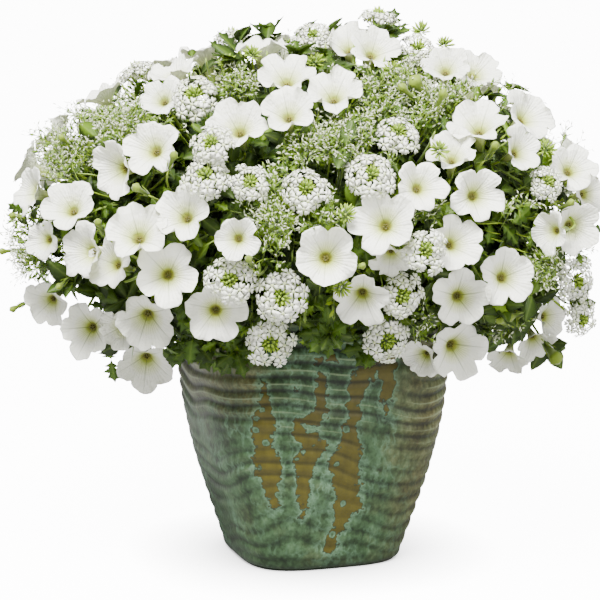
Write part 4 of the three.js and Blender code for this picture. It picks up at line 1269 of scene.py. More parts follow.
@dataclass(frozen=True)
class Petunias:
    """The petunias. Each has a funnel of five fused petals with ruffled lobes, anthers in its throat, five
    sepals round its tube, and a stalk that leaves the bush or a neighbour's stalk."""

    standard_width: float = 62.0
    depth: float = 44.0
    throat: float = 7.0
    throat_depth: float = 17.0
    pit: float = 30.0
    notch: float = 0.76
    curl: float = 7.0
    around: int = 50
    mates: int = 5
    shoot_reach: float = 150.0
    stalk_radii: tuple[float, float] = (1.9, 1.4)
    # rings of the tube and of the cup in the throat, as radius, height and how deep the tube's ribs are
    tube_rings: tuple[tuple[float, ...], ...] = (
        (2.9, -44, 0.05), (3.5, -38, 0.07), (4.8, -30, 0.07), (6.6, -23, 0.05), (8.3, -18),
    )
    cup_rings: tuple[tuple[float, float], ...] = ((6.0, -18.6), (4.2, -20.6), (2.2, -22))
    tube_foot: float = -46.0
    cup_foot: float = -22.6
    # rings of the limb by their share of the way out: under it with its thickness there, and over it
    under_rings: tuple[tuple[float, float], ...] = ((0.14, 1.1), (0.4, 0.7), (0.7, 0.5), (0.92, 0.35))
    over_rings: tuple[float, ...] = (1.0, 0.965, 0.9, 0.8, 0.68, 0.55, 0.42, 0.3, 0.18, 0.08, 0.0)
    # how far out the colours count the rings behind and those in the cup
    back_reaches: tuple[float, ...] = (0.05, 0.12, 0.22, 0.34, 0.44, 0.55, 0.7, 0.85, 0.95)
    cup_reaches: tuple[float, ...] = (0.24, 0.14, 0.06)

    def tube_end(self, place: Place) -> Array:
        """The foot of a bloom's tube."""
        return place.point - place.facing * self.depth * place.width / self.standard_width

    def rooted(self, places: list[Place]) -> list[Bloom]:
        """Each bloom with its stalk's root: from the left, a bloom takes its nearest neighbours as mates."""
        left = sorted(places, key=lambda item: item.point[0])
        found: list[Bloom] = []
        while left:
            main, others = left[0], left[1:]
            far = [float(np.linalg.norm(item.point - main.point)) for item in others]
            near = sorted(range(len(others)), key=far.__getitem__)[: self.mates]
            mates = [i for i in near if far[i] < self.shoot_reach]
            end = self.tube_end(main)
            root = BUSH.root(end)
            found.append((main, root, True))
            middle = bend(root, stalk_middle(root, end, main.facing), end, 3)[1]
            for number, i in enumerate(mates):
                up = (number + 0.4) / (len(mates) + 0.6)
                found.append((others[i], middle + (end - middle) * up, False))
            left = [item for i, item in enumerate(others) if i not in mates]
        return found

    def outline(self, angle: Array, lobe: Array, across: Array, rng: np.random.Generator) -> Array:
        """How far out the limb's edge lies at each angle, with lobes and notches that vary."""
        wide = np.sin(np.minimum(1, (1 - across) / 0.6) * math.pi / 2) ** 0.8
        edge = self.notch + (0.97 - self.notch) * wide + 0.06 * (1 - across) ** 1.5
        edge *= 1 + np.interp(across, (0, 0.7, 1), (1, 0.8, 0)) * rng.normal(0, 0.06, 5)[lobe]
        gap = np.floor(angle / LOBE).astype(int)
        edge += np.interp(across, (0.6, 1), (0, 1)) * rng.uniform(-0.1, 0.06, 5)[gap]
        return edge + (0.016 * np.sin(11 * angle + rng.uniform(0, TURN)) + 0.013 * np.sin(19 * angle))

    def corolla(self, skin: Skin, place: Place) -> None:
        """Adds a bloom's funnel as one closed skin: up the tube, out under the limb, and back in over it."""
        size = place.width / self.standard_width
        rng = np.random.default_rng(abs(int(place.point @ vec(7, 11, 13))))
        draw = SteadyDraws(math.floor(place.point[0] * 7 + place.point[2] * 13 + 9999 + 0.5))
        curls = np.array([(draw() - 0.5) * self.curl * size for _ in range(5)])
        angle = np.arange(self.around) * TURN / self.around
        lobe = np.round(angle / LOBE).astype(int) % 5
        off = (angle - np.round(angle / LOBE) * LOBE) / (LOBE / 2)
        across = np.abs(off)
        outline = self.outline(angle, lobe, across, rng)
        reflex = rng.uniform(-2.0, 6.5, 5)[lobe] * (1 - across**2)
        phases, heights = rng.uniform(0, TURN, 3), rng.uniform(1.0, 2.4, 3)
        waves = zip(heights * (1.1, 0.8, 0.5), (5, 9, 14), phases)
        ruffle = sum(height * np.sin(count * angle + phase) for height, count, phase in waves)
        curl = curls[lobe] * (0.65 - 0.35 * off) - 1.0 * across**4
        fold = 2.6 * np.exp(-((across / 0.13) ** 2)) - 2.8 * np.exp(-(((1 - across) / 0.2) ** 2))
        tilt = rng.normal(0, 2.8, 5)[lobe] * off
        throat, deep = self.throat * size, self.throat_depth * size

        def limb(share: float) -> tuple[Array, Array]:
            """The radius and height round the limb at a share of the way out."""
            full = place.width / 2 * (1 - (1 - outline) * share**3)
            rise = -deep * (1 - share) ** 1.35 + (curl * 0.9 + size * (ruffle + tilt)) * share**2.2
            turned_back = reflex * max(0.0, share - 0.72) ** 2 / 0.08 * 0.5
            rise -= size * (fold * share * (1.3 - share) + turned_back)
            return throat + (full - throat) * share, rise

        def ring(radius: float, height: float, ribs: float = 0.0) -> tuple[Array, Array]:
            """The radius and height round the tube, with ribs."""
            return radius * size * (1 + ribs * np.cos(5 * angle)), np.full(self.around, height * size)

        tube = [ring(*row) for row in self.tube_rings]
        under = []
        for share, thick in self.under_rings:
            radius, rise = limb(share)
            under.append((radius, rise - size * thick))
        over = [limb(share) for share in self.over_rings]
        inner = [ring(*row) for row in self.cup_rings]
        rings = tube + under + over + inner
        over_reaches = [0.3 + 0.7 * share for share in self.over_rings]
        reaches = [*self.back_reaches, *over_reaches, *self.cup_reaches]
        skins = [ring_at(angle, *row) for row in rings]
        local = with_ends(self.tube_foot * size, skins, self.cup_foot * size)
        turn = place.turn
        behind = len(tube + under)
        is_back = np.repeat([1.0] * behind + [0.0] * (len(rings) - behind), self.around)
        skin.add(
            place.point + local @ turn.T,
            closed_rings(len(rings), self.around),
            0,
            reach=np.concatenate([[0], np.repeat(reaches, self.around), [0]]),
            across=np.concatenate([[0], np.tile(across, len(rings)), [0]]),
            back=np.concatenate([[1], is_back, [0]]),
            shade=rng.uniform(0, 1),
        )

    def trimmings(self) -> tuple[Part, Part]:
        """The anthers in a throat and the sepals round a tube, for a bloom of standard size."""
        turn = np.arange(5) * LOBE + 0.3
        ring = ring_at(turn, 1.0, 0.0)
        lean = turns_to(ring * 0.25 + vec(0, 0, 1), turn)
        anthers = merged(spindle(3.0, 1.1, 6, finish=1), ring * 1.6 + vec(0, 0, -21), lean, 1.0)
        blade = lens_blade([(0.12, 0.7), (0.4, 1), (0.75, 0.6)], 17, 3.4, arch=-2.6, thick=0.7, finish=2)
        up = turns_along(ring * 0.1 + vec(0, 0, 1), ring)
        sepals = merged(blade, ring * 3.3 + vec(0, 0, -46), up, 1.0)
        return anthers, sepals

    def build(self, places: list[Place]) -> None:
        """Builds each packed group of petunias with the blooms that its solid holds."""
        names = nodes_named("petunias_")
        clouds = [node_points(name) for name in names]
        groups: list[list[Bloom]] = [[] for _ in names]
        for item in self.rooted(places):
            place = item[0]
            pit = place.point - place.facing * self.pit * place.width / self.standard_width
            near = [float(np.min(np.linalg.norm(cloud - pit, axis=1))) for cloud in clouds]
            groups[int(np.argmin(near))].append(item)
        anthers, sepals = self.trimmings()
        finishes = [PetuniaCorolla(), GreenStem(foot="#2e2b06", tip="#6a6414"), GreenStem()]
        for name, group in zip(names, groups):
            skin = Skin()
            for place, root, is_main in group:
                self.corolla(skin, place)
                radius = self.stalk_radii[0 if is_main else 1]
                stalk(skin, root, self.tube_end(place), place.facing, radius, finish=2)
            blooms = [place for place, _, _ in group]
            origins = np.array([place.point for place in blooms])
            turns = np.array([place.turn for place in blooms])
            sizes = np.array([place.width / self.standard_width for place in blooms])
            for part in (anthers, sepals):
                skin.stand(part, origins, turns, sizes, 0.5)
            skin.piece(f"petunia_blooms_{name[-2:]}", finishes, [name])


@dataclass(frozen=True)
class PetuniaBuds:
    """Buds between the petunias: a furled, pleated spindle in its sepals, on a stalk."""

    # across and down in the picture, how far each faces right and up, its length, and how open it is
    buds: tuple[tuple[float, ...], ...] = (
        (420, 88, -0.6, 0.7, 34, 1), (407, 92, -0.7, 0.6, 26, 0), (17, 216, -0.9, 0.1, 20, 0),
        (7, 251, -0.9, -0.1, 20, 0), (17, 307, -0.8, -0.4, 20, 0), (62, 284, -0.5, -0.5, 20, 0),
        (100, 226, -0.3, 0.6, 22, 0), (140, 190, -0.5, 0.3, 26, 0), (172, 160, 0.3, 0.7, 24, 0),
        (65, 141, -0.6, 0.6, 20, 0), (359, 267, 0.6, 0.2, 20, 0), (514, 316, -0.7, -0.2, 26, 0),
        (503, 322, -0.6, 0.3, 24, 0), (567, 205, 0.6, 0.4, 22, 0), (552, 353, 0.4, -0.6, 34, 1),
        (440, 100, 0.4, 0.8, 28, 0), (250, 262, -0.2, 0.5, 22, 0), (492, 150, 0.4, 0.6, 26, 0),
    )
    lift: float = 4.0
    behind: float = 130.0
    sides: int = 15
    ring_count: int = 10
    twist: float = 1.6
    pleat: float = 0.13
    slim_length: float = 30.0  # the length at which the radii of the swell are true
    sepal_length: float = 34.0  # the length that a bloom's sepals fit
    stalk_radius: float = 1.2

    def bud(self, length: float, is_open: bool) -> tuple[Array, Array]:
        """The points of a bud along +Z and their reach. It swells below its tip, where it starts to open."""
        angle = np.arange(self.sides) * TURN / self.sides
        shares = np.linspace(0, 1, self.ring_count)
        tip = 3.2 + 2.2 * np.sin((shares - 0.6) / 0.4 * math.pi)
        swell = np.where(shares < 0.6, 1.6 + 2.6 * shares, tip)
        swell *= np.where(shares > 0.93, 0.45, 1.0) * (1.35 if is_open else 1.0)
        rings = []
        for share, radius in zip(shares, swell):
            pleat = 1 + self.pleat * np.cos(5 * (angle + self.twist * share)) * smooth(share * 1.6)
            rings.append(ring_at(angle, radius * pleat * length / self.slim_length, share * length * 0.97))
        return with_ends(-1, rings, length), np.concatenate([[0], np.repeat(shares, self.sides), [1]])

    def build(self) -> None:
        """Builds the buds, in front and again behind."""
        skin = Skin()
        rng = np.random.default_rng(61)
        _, sepals = Petunias().trimmings()
        places = placed([(*row[:5], self.lift) for row in self.buds], self.behind, SteadyDraws(61))
        faces = closed_rings(self.ring_count, self.sides)
        for number, place in enumerate(places):
            length = place.width
            points, reach = self.bud(length, number < len(self.buds) and self.buds[number][5] > 0)
            turn = place.turn
            base = place.point - place.facing * length * 0.5
            skin.add(base + points @ turn.T, faces, 0, reach=reach)
            origin = base + place.facing * Petunias.depth * length / self.sepal_length
            skin.stand(sepals, origin[None], turn[None], length / self.sepal_length, 0.5)
            shade = rng.uniform(0, 1)
            stalk(skin, BUSH.root(base), base, place.facing, self.stalk_radius, finish=2, shade=shade)
        finishes = [GreenStem(foot="#40580a", tip="#7a8f1e", through=0.25), GreenStem(), GreenStem()]
        skin.piece("petunia_buds", finishes, [])


@dataclass(frozen=True)
class VerbenaHeads:
    """Rounded heads of small florets with five notched petals, round a tuft of green buds."""

    standard_width: float = 43.0
    hub_deep: float = 12.0
    floret_radius: float = 6.9
    tube: float = 12.0
    # how many florets, how far out, how far they lean, and how high they sit, for each ring of a head
    rings: tuple[tuple[int, float, float, float], ...] = ((10, 19.3, 0.85, -4.2), (7, 13.0, 0.42, 0.6))
    buds: int = 26
    bud_tip: float = 3.0
    tuft_spread: tuple[float, float] = (1.0, 1.35)  # in a head in flower, and in one still in bud
    finishes: tuple[Finish, ...] = (SmallPetal(), GreenStem(foot="#4c6a0a", tip="#94b022"), GreenStem())
    # half of a petal's outline, as shares of its length along and aside
    petal: tuple[tuple[float, float], ...] = (
        (0.26, 0.1), (0.6, 0.36), (0.88, 0.4), (1.02, 0.22), (0.84, 0.0),
    )

    def floret(self, seed: int) -> Part:
        """One floret: five thin notched petals, a little uneven, and its eye, along +Z."""
        rng = np.random.default_rng(seed)
        skin = Skin()
        for i in range(5):
            turn = i * LOBE + rng.normal(0, 0.05)
            long = self.floret_radius * rng.uniform(0.93, 1.07)
            droop, cup = rng.uniform(-0.2, 1.2), rng.uniform(-0.5, 0.5)
            other_half = [(x, -y) for x, y in reversed(self.petal[:-1])]
            flat = np.array([(0.12, 0.0), *self.petal, *other_half]) * long
            lift = cup * np.abs(flat[:, 1]) / long * 2 - droop * (flat[:, 0] / long) ** 2
            over = np.column_stack([flat, lift])
            middle = vec(0.52 * long, 0, -droop * 0.27 + 0.25)
            points = np.concatenate([over, [middle], [middle - vec(0, 0, 0.5)]])
            n = len(over)
            ring = np.arange(n)
            after = (ring + 1) % n
            top = np.stack([after, ring, np.full(n, n)], -1)
            bottom = np.stack([ring, after, np.full(n, n + 1)], -1)
            cos, sin = math.cos(turn), math.sin(turn)
            points = points @ np.array([[cos, sin, 0], [-sin, cos, 0], [0, 0, 1]])
            reach = np.concatenate([flat[:, 0] / long, [0.52, 0.52]])
            skin.add(points, [top, bottom], reach=reach)
        profile = np.array([[0, -self.tube], [0.7, -self.tube * 0.9], [0.8, -3], [1.9, 0.1], [0, 0.5]])
        points = lathe_points(profile, 4)
        reach = np.concatenate([[0], np.repeat([0, 0.1, 0.2], 4), [0]])
        skin.add(points, closed_rings(3, 4), reach=reach)
        return skin.part(0)

    def bud_tuft(self, spread: float) -> Part:
        """A tuft of slim green buds that lean out from the hub."""
        i = np.arange(self.buds)
        lean = spread * np.sqrt((i + 0.3) / self.buds)
        turn = i * GOLDEN_ANGLE
        out = leaning(lean, turn)
        bud = spindle(1.0, 0.1, 5, 0.74, 1)
        lengths = 14.0 - 4.0 * lean / spread + 1.6 * np.sin(i * 2.3)
        return merged(bud, out * 2 + vec(0, 0, -7), turns_to(out, turn), lengths)

    def build(self, places: list[Place], bud_places: list[Place]) -> list[Place]:
        """Builds the heads in flower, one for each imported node, and gives where they stand."""
        florets = [self.floret(seed) for seed in range(4)]
        tuft = self.bud_tuft(self.tuft_spread[0])
        seated: list[Place] = []
        for name, read in zip(nodes_named("verbena_"), places, strict=True):
            cloud = node_points(name)
            place = read.seated(cloud, read.facing * self.bud_tip * read.width / self.standard_width)
            seated.append(place)
            skin = Skin()
            rng = np.random.default_rng(int(name[-2:]) + 100)
            size = place.width / self.standard_width
            turn = place.turn
            for count, out, lean, low in self.rings:
                at = np.arange(count) * TURN / count + rng.uniform(0, TURN) + rng.normal(0, 0.1, count)
                leans = lean + rng.normal(0, 0.16, count)
                ring = ring_at(at, 1.0, 0.0)
                local = ring * out * rng.uniform(0.86, 1.14, (count, 1))
                local[:, 2] = low + np.where(np.arange(count) % 2, 1.1, -1.1) + rng.normal(0, 0.7, count)
                face = ring * np.sin(leans)[:, None] + np.cos(leans)[:, None] * vec(0, 0, 1)
                for number, floret in enumerate(florets):
                    pick = np.arange(count) % len(florets) == number
                    origins = place.point + local[pick] @ turn.T * size
                    turns = turns_to(face[pick] @ turn.T, rng.uniform(0, TURN, len(origins)))
                    skin.stand(floret, origins, turns, size, rng.uniform(0, 1, len(origins)))
            skin.stand(tuft, place.point[None], turn[None], size, 0.5)
            root = farthest(cloud, place.point)
            stalk(skin, root, place.point - place.facing * self.hub_deep * size, place.facing, 1.3, finish=2)
            skin.piece(f"verbena_head_{name[-2:]}", list(self.finishes), [name])
        self.build_buds(bud_places)
        return seated

    def build_buds(self, places: list[Place]) -> None:
        """Builds the heads that are still in bud."""
        skin = Skin()
        tuft = self.bud_tuft(self.tuft_spread[1])
        for place in places:
            skin.stand(tuft, place.point[None], place.turn[None], 1.0, 0.5)
            stalk(skin, BUSH.root(place.point), place.point - place.facing * 7, place.facing, 1.4, finish=2)
        skin.piece("verbena_bud_heads", list(self.finishes), [])


@dataclass(frozen=True)
class EuphorbiaHaze:
    """Sprays of hair-fine stems with pairs of tiny white bracts, which fill the gaps like a haze."""

    reach: float = 36.0
    fork_back: float = 0.6  # how far behind its middle a spray forks, as a share of its reach
    arms: int = 9
    kinds: int = 5
    twigs: int = 3
    stem_radius: float = 0.42
    twig_radius: float = 0.34
    # across and down in the picture, how far sprays scatter round it, how many, and how they face
    drifts: tuple[tuple[float, ...], ...] = (
        (92, 116, 34, 12, -0.5, 0.5), (86, 98, 18, 6, -0.4, 0.7), (40, 138, 16, 5, -0.6, 0.5),
        (52, 152, 30, 11, -0.7, 0.3), (115, 128, 24, 8, -0.3, 0.5),
        (38, 205, 24, 7, -0.8, 0.1), (20, 244, 16, 6, -0.9, 0.0), (30, 272, 14, 4, -0.8, -0.2),
        (150, 108, 18, 6, -0.3, 0.5), (330, 122, 36, 14, 0.0, 0.5), (292, 146, 26, 8, 0.0, 0.4),
        (372, 96, 32, 10, 0.1, 0.5), (358, 140, 26, 7, 0.0, 0.4), (290, 224, 26, 7, 0.0, 0.2),
        (322, 208, 18, 5, 0.0, 0.2), (255, 205, 20, 5, -0.1, 0.2), (430, 98, 28, 11, 0.2, 0.5),
        (448, 76, 20, 7, 0.2, 0.6), (405, 78, 20, 6, 0.1, 0.6), (515, 230, 30, 10, 0.4, 0.1),
        (548, 262, 24, 9, 0.6, 0.0), (566, 300, 16, 5, 0.7, -0.2), (400, 155, 20, 4, 0.1, 0.4),
        (440, 205, 20, 4, 0.2, 0.2), (236, 88, 20, 5, -0.1, 0.6), (500, 330, 18, 4, 0.3, -0.4),
        (410, 320, 22, 4, 0.0, -0.2), (585, 250, 10, 4, 0.9, 0.0), (290, 40, 20, 4, 0.0, 0.8),
    )
    density: float = 0.6
    behind: int = 80
    finishes: tuple[Finish, ...] = (
        SmallPetal(foot="#a6c53c", tip="#f6fae0", foot_share=0.45, through=0.45),
        GreenStem(foot="#527006", tip="#94b012", through=0.2),
        GreenStem(foot="#345204", tip="#76980c", through=0.25),
    )

    def fork(self, place: Place) -> Array:
        """Where a spray's arms part."""
        return place.point - place.facing * self.reach * self.fork_back

    def arm(self, number: int, rng: np.random.Generator) -> list[Part]:
        """An arm of a spray, from its fork at the origin along +Z: its stems, its bracts and its leaves."""
        lean = 0.12 + 0.95 * math.sqrt(number / self.arms) + rng.normal(0, 0.06)
        out = leaning(lean, number * GOLDEN_ANGLE + rng.normal(0, 0.2))
        tip = out * self.reach * rng.uniform(0.62, 1.0)
        path = bend(vec(0, 0, -2.0 * number), tip * 0.5 + vec(0, 0, 3), tip, 11)
        stems = Skin()
        stems.tube(path[::2], np.full(6, self.stem_radius), 3)
        ends = [(tip, out)]
        for _ in range(self.twigs):
            way = unit(out + rng.normal(0, 0.6, 3))
            start = path[rng.integers(5, 10)]
            end = start + way * rng.uniform(6, 11)
            stems.tube(bend(start, (start + end) / 2, end, 3), np.full(3, self.twig_radius), 3)
            ends.append((end, way))
        bracts = self.bracts(ends, rng)
        side = unit(np.cross(out, rng.normal(0, 1, 3)))
        ways = np.array([out * 0.7 + side, out * 0.7 - side, np.cross(out, side) + out])
        leaf = lens_blade([(0.5, 1.0)], 11, 3.4, arch=0.8, fold=0.4, thick=0.4, finish=2)
        turns = turns_along(ways, np.array([out] * 3) + vec(0, 0, 0.5))
        leaves = merged(leaf, path[[5, 5, 7]], turns, rng.uniform(0.7, 1.15, 3))
        return [stems.part(1), bracts, leaves]

    @staticmethod
    def bracts(ends: list[tuple[Array, Array]], rng: np.random.Generator) -> Part:
        """One or two bracts at each end of a stem: slim folded blades of four faces, 6 mm long."""
        points = np.array([[0, 0, 0], [-0.75, 2.8, 0.3], [0.75, 2.8, 0.3], [0, 5.6, -0.25]])
        faces = [np.array([[0, 2, 1], [1, 2, 3], [0, 3, 2], [0, 1, 3]])]
        bract = Part(points, faces, 0, {"reach": vec(0, 0.6, 0.6, 1)})
        origins, ways = [], []
        for end, way in ends:
            side = unit(np.cross(way, rng.normal(0, 1, 3)))
            for aside in (-side, side)[: rng.integers(1, 3)]:
                origins.append(end)
                ways.append(unit(way * rng.uniform(0.3, 1.4) + aside))
        faces_to = rng.normal(0, 0.5, (len(origins), 3)) + vec(0, 0, 1)
        sizes = rng.uniform(0.8, 1.3, len(origins))
        return merged(bract, np.array(origins), turns_along(np.array(ways), faces_to), sizes)

    def scatter(self) -> list[Place]:
        """Places of loose sprays: in drifts in front, and all over behind and on top."""
        rng = np.random.default_rng(44)
        rows = [
            (x + rng.normal(0, spread * 0.5), y + rng.normal(0, spread * 0.5),
             right + rng.normal(0, 0.15), up + rng.normal(0, 0.15), self.reach, rng.uniform(-14, 4))
            for x, y, spread, count, right, up in self.drifts
            for _ in range(round(count * self.density))
        ]
        draw = SteadyDraws(44)
        front = placed(rows, NEVER_BEHIND, draw)
        back: list[Place] = []
        while len(back) < self.behind:
            way = unit(rng.normal(0, 1, 3))
            if way[1] < -0.1 * way[2] or way[2] < -0.35:
                continue
            at = MOUND.surface(way, rng.uniform(0.9, 1.0))
            back.append(Place(lambda more, at=at: at, MOUND.normal(at), self.reach, roll=draw() * TURN))
        return front + back

    def grow(self, skin: Skin, places: list[Place], roots: list[Array], clear: KeepClear) -> None:
        """Adds sprays on their stems, without the arms that would reach in front of a flower."""
        forks = np.array([self.fork(place) for place in places])
        turns = np.array([place.turn for place in places])
        kind_of = np.arange(len(places)) % self.kinds
        shades = (np.arange(len(places)) * 0.37) % 1
        for kind in range(self.kinds):
            rng = np.random.default_rng(70 + kind)
            for number in range(self.arms):
                arm = self.arm(number, rng)
                tips = forks[:, None] + np.einsum("nij,mj->nmi", turns, arm[1].points[3::4])
                taken = clear.holds(tips.reshape(-1, 3), behind=2).reshape(len(forks), -1).any(1)
                kept = (kind_of == kind) & ~taken
                for part in arm:
                    skin.stand(part, forks[kept], turns[kept], 1.0, shades[kept])
        for fork, root, place in zip(forks, roots, places):
            path = bend(root, fork - place.facing * 0.3 * np.linalg.norm(root - fork), fork, 7)
            skin.tube(path, np.linspace(0.95, 0.6, 7), 4, 1)

    def build(self, places: list[Place], clear: KeepClear) -> None:
        """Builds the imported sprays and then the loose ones."""
        for name, place in zip(nodes_named("euphorbia_"), places):
            cloud = node_points(name)
            skin = Skin()
            seated = place.seated(cloud, self.fork(place) - place.point)
            self.grow(skin, [seated], [farthest(cloud, place.point)], clear)
            skin.piece(f"euphorbia_spray_{name[-2:]}", list(self.finishes), [name])
        loose = self.scatter()
        taken = clear.holds(np.array([self.fork(place) for place in loose]), behind=-2, ahead=70)
        free = [place for place, is_taken in zip(loose, taken) if not is_taken]
        for side, is_back in (("front", False), ("back", True)):
            chosen = [place for place in free if (place.point[1] >= 0) == is_back]
            roots = [BUSH.root(place.point - place.facing * 20) for place in chosen]
            skin = Skin()
            self.grow(skin, chosen, roots, clear)
            skin.piece(f"euphorbia_haze_{side}", list(self.finishes), [])


# Greenery


class Plant(Enum):
    """The three kinds of plant, by the leaves that they bear."""

    PETUNIA = "petunia"
    VERBENA = "verbena"
    EUPHORBIA = "euphorbia"


@dataclass(frozen=True)
class Habit:
    """How one plant bears its leaves."""

    outline: tuple[tuple[float, float], ...]
    length: float
    width: float
    arch: float
    fold: float
    spacing: float
    in_pairs: bool
    rise: float
    finish: LeafBlade

    def blades(self, kinds: int) -> list[Part]:
        """Some kinds of its leaf, each bent a little otherwise."""
        outline = list(self.outline)
        return [
            lens_blade(outline, self.length, self.width, arch=self.arch * bent, fold=self.fold * (2 - bent))
            for bent in np.linspace(0.4, 1.7, kinds)
        ]


HABITS = {
    Plant.PETUNIA: Habit(
        ((0.08, 0.22), (0.2, 0.62), (0.38, 0.97), (0.6, 0.94), (0.82, 0.55), (0.94, 0.22)),
        33, 19, 6, 2.4, 11, False, 0.5, LeafBlade(deep="#1a2b05", mid="#3a5409", fresh="#6a8a16"),
    ),
    Plant.VERBENA: Habit(
        ((0.14, 0.16), (0.27, 0.78), (0.33, 0.32), (0.52, 1.0), (0.58, 0.38), (0.77, 0.68), (0.83, 0.24)),
        31, 23, 5, 2.0, 12, True, 0.45, LeafBlade(deep="#203405", mid="#42620a", fresh="#7a9c18"),
    ),
    Plant.EUPHORBIA: Habit(
        ((0.25, 0.8), (0.65, 0.9)),
        16, 5.5, 1, 0.5, 9, True, 0.6, LeafBlade(deep="#34500a", mid="#5f800c", fresh="#9cb81e"),
    ),
}


class Leaf(NamedTuple):
    """Where a leaf starts, points and faces, its size and its shade."""

    start: Array
    way: Array
    facing: Array
    size: float
    shade: float


@dataclass(frozen=True)
class Foliage:
    """Leafy shoots that stand out of a dense middle painted dark as shade, and the leaves that show between
    the flowers.
    """

    pot: GlazedPot
    shoots: int = 560
    skirt: int = 90
    share: tuple[float, float] = (0.74, 0.97)
    shoot_plants: tuple[Plant, ...] = (
        Plant.VERBENA, Plant.PETUNIA, Plant.EUPHORBIA, Plant.VERBENA, Plant.PETUNIA, Plant.PETUNIA,
    )
    leafy_length: float = 88.0
    lowest_tip: float = 205.0
    kinds: int = 4
    core: float = 0.93
    core_around: int = 72
    pair_size: float = 0.95
    stalk_radius: float = 1.4
    # tufts of leaves: across and down in the picture, how far each faces right and up, and how near
    tuft_rows: tuple[tuple[float, ...], ...] = (
        (98, 292, -0.4, -0.1, -22), (124, 300, -0.3, -0.2, -24), (72, 282, -0.6, 0, -22),
        (176, 318, -0.2, -0.2, -30), (176, 342, -0.3, -0.4, -34), (192, 300, -0.1, 0, -20),
        (196, 345, -0.1, -0.3, -14), (520, 334, 0.3, -0.4, -24), (538, 318, 0.4, -0.3, -24),
        (562, 288, 0.5, 0, -20), (486, 322, 0.3, -0.2, -22), (440, 322, 0.2, -0.2, -20),
        (430, 345, 0.3, -0.4, -30), (574, 306, 0.5, -0.2, -20), (500, 305, 0.3, 0, -22),
        (359, 62, 0, 0.7, -26), (386, 30, 0, 0.8, -40), (300, 62, 0, 0.7, -26),
        (330, 335, 0, -0.2, -14), (120, 345, -0.3, -0.4, -30), (236, 352, 0, -0.3, -16),
        (372, 350, 0.1, -0.3, -18), (548, 345, 0.4, -0.5, -26), (506, 340, 0.3, -0.4, -34),
        (522, 318, 0.4, -0.2, -34), (548, 302, 0.5, 0, -34), (556, 276, 0.5, 0, -30),
        (534, 300, 0.4, 0, -30), (374, 32, 0, 0.8, -70), (390, 30, 0.1, 0.8, -120),
        (330, 50, 0, 0.7, -60), (225, 55, -0.1, 0.7, -40),
    )
    tuft_leaves: int = 10
    tuft_leans: tuple[float, float] = (1.3, 0.75)
    verbena_span: tuple[float, float] = (170, 440)  # the tufts between these are verbena, the others petunia
    # tufts on the top of the mound: from and to across, from and to back, step, and width
    top_tufts: tuple[int, ...] = (-80, 112, -92, 130, 32, 34)

    def build(self, places: dict[str, list[Place]], clear: KeepClear) -> None:
        """Builds the middle, the shoots and the leaves."""
        self.build_core()
        stems = Skin()
        shoots = self.shoot_paths(stems, clear)
        pairs = {Plant.VERBENA: places["toothed_leaves"], Plant.PETUNIA: places["plain_leaves"]}
        for plant in Plant:
            habit = HABITS[plant]
            rng = np.random.default_rng(sum(map(ord, plant.value)))
            leaves = self.along_shoots(habit, shoots[plant], clear, rng)
            leaves += self.in_pairs(habit, pairs.get(plant, []), stems, clear, rng)
            if plant is not Plant.EUPHORBIA:
                leaves += self.in_tufts(habit, self.tuft_places(plant), stems, clear)
            skin = Skin()
            starts, ways, facings, sizes, shades = (np.array(column) for column in zip(*leaves))
            turns = turns_along(ways, facings)
            kind_of = rng.integers(0, self.kinds, len(leaves))
            for kind, blade in enumerate(habit.blades(self.kinds)):
                chosen = kind_of == kind
                skin.stand(blade, starts[chosen], turns[chosen], sizes[chosen], shades[chosen])
            skin.piece(f"{plant.value}_leaves", [habit.finish], [])
        stems.piece("shoot_stems", [GreenStem(foot="#3c5614", tip="#86a03a")], ["leafy_stems"])

    def build_core(self) -> None:
        """Builds the dense middle: a lumpy body inside the leaves, painted dark as shade."""
        skin = Skin()
        angle = np.arange(self.core_around) * TURN / self.core_around
        lumps = Waves(51, (3, 14), 0.11, 26)
        rings = []
        for top in np.linspace(3, 250, 34):
            share = BUSH.share(BUSH.foot + top) * self.core * (1 + 0.07 * lumps(angle, top + 0 * angle))
            rings.append(ring_at(angle, share, BUSH.foot + top) * vec(BUSH.across, BUSH.back, 1))
        points = with_ends(BUSH.foot, rings, BUSH.foot + 253)
        skin.add(points, closed_rings(len(rings), self.core_around))
        skin.piece("foliage_middle", [PaintedShadeCore()], [])

    def shoot_paths(self, stems: Skin, clear: KeepClear) -> dict[Plant, list[Array]]:
        """The paths of the leafy shoots, by plant: a skirt over the rim, then all over the mound.

        Args:
            stems: the skin that their stems go into.
            clear: what the stems end short of.
        Returns:
            The paths of each plant's shoots.
        """
        rng = np.random.default_rng(17)
        paths: dict[Plant, list[Array]] = {plant: [] for plant in Plant}
        for i in range(self.skirt):
            path = self.skirt_path(i * GOLDEN_ANGLE, rng)
            if not self.pot.touched_by(path[4:]).any():
                stems.tube(path[::2], np.linspace(1.5, 0.8, 7), 5, shade=rng.uniform(0, 1))
                paths[self.shoot_plants[i % 2]].append(path)
        for i in range(self.shoots):
            height = 1 - 1.72 * (i + 0.5) / self.shoots
            way = ring_at(i * GOLDEN_ANGLE, math.sqrt(1 - height * height), height)
            way = unit(way + rng.normal(0, 0.04, 3))
            tip = MOUND.surface(way, rng.uniform(*self.share))
            if self.is_too_low(tip):
                continue
            root = BUSH.root(tip)
            path = bend(root, (root + tip) / 2 + vec(0, 0, 12) + rng.normal(0, 8, 3), tip, 13)
            shown = path[::2]
            hides = clear.holds(shown, behind=-4)
            if hides[2:].any():
                shown = shown[: max(4, int(np.argmax(hides[2:])) + 2)]
            stems.tube(shown, np.linspace(1.6, 0.8, 7)[: len(shown)], 5, shade=rng.uniform(0, 1))
            paths[self.shoot_plants[i % len(self.shoot_plants)]].append(path)
        return paths

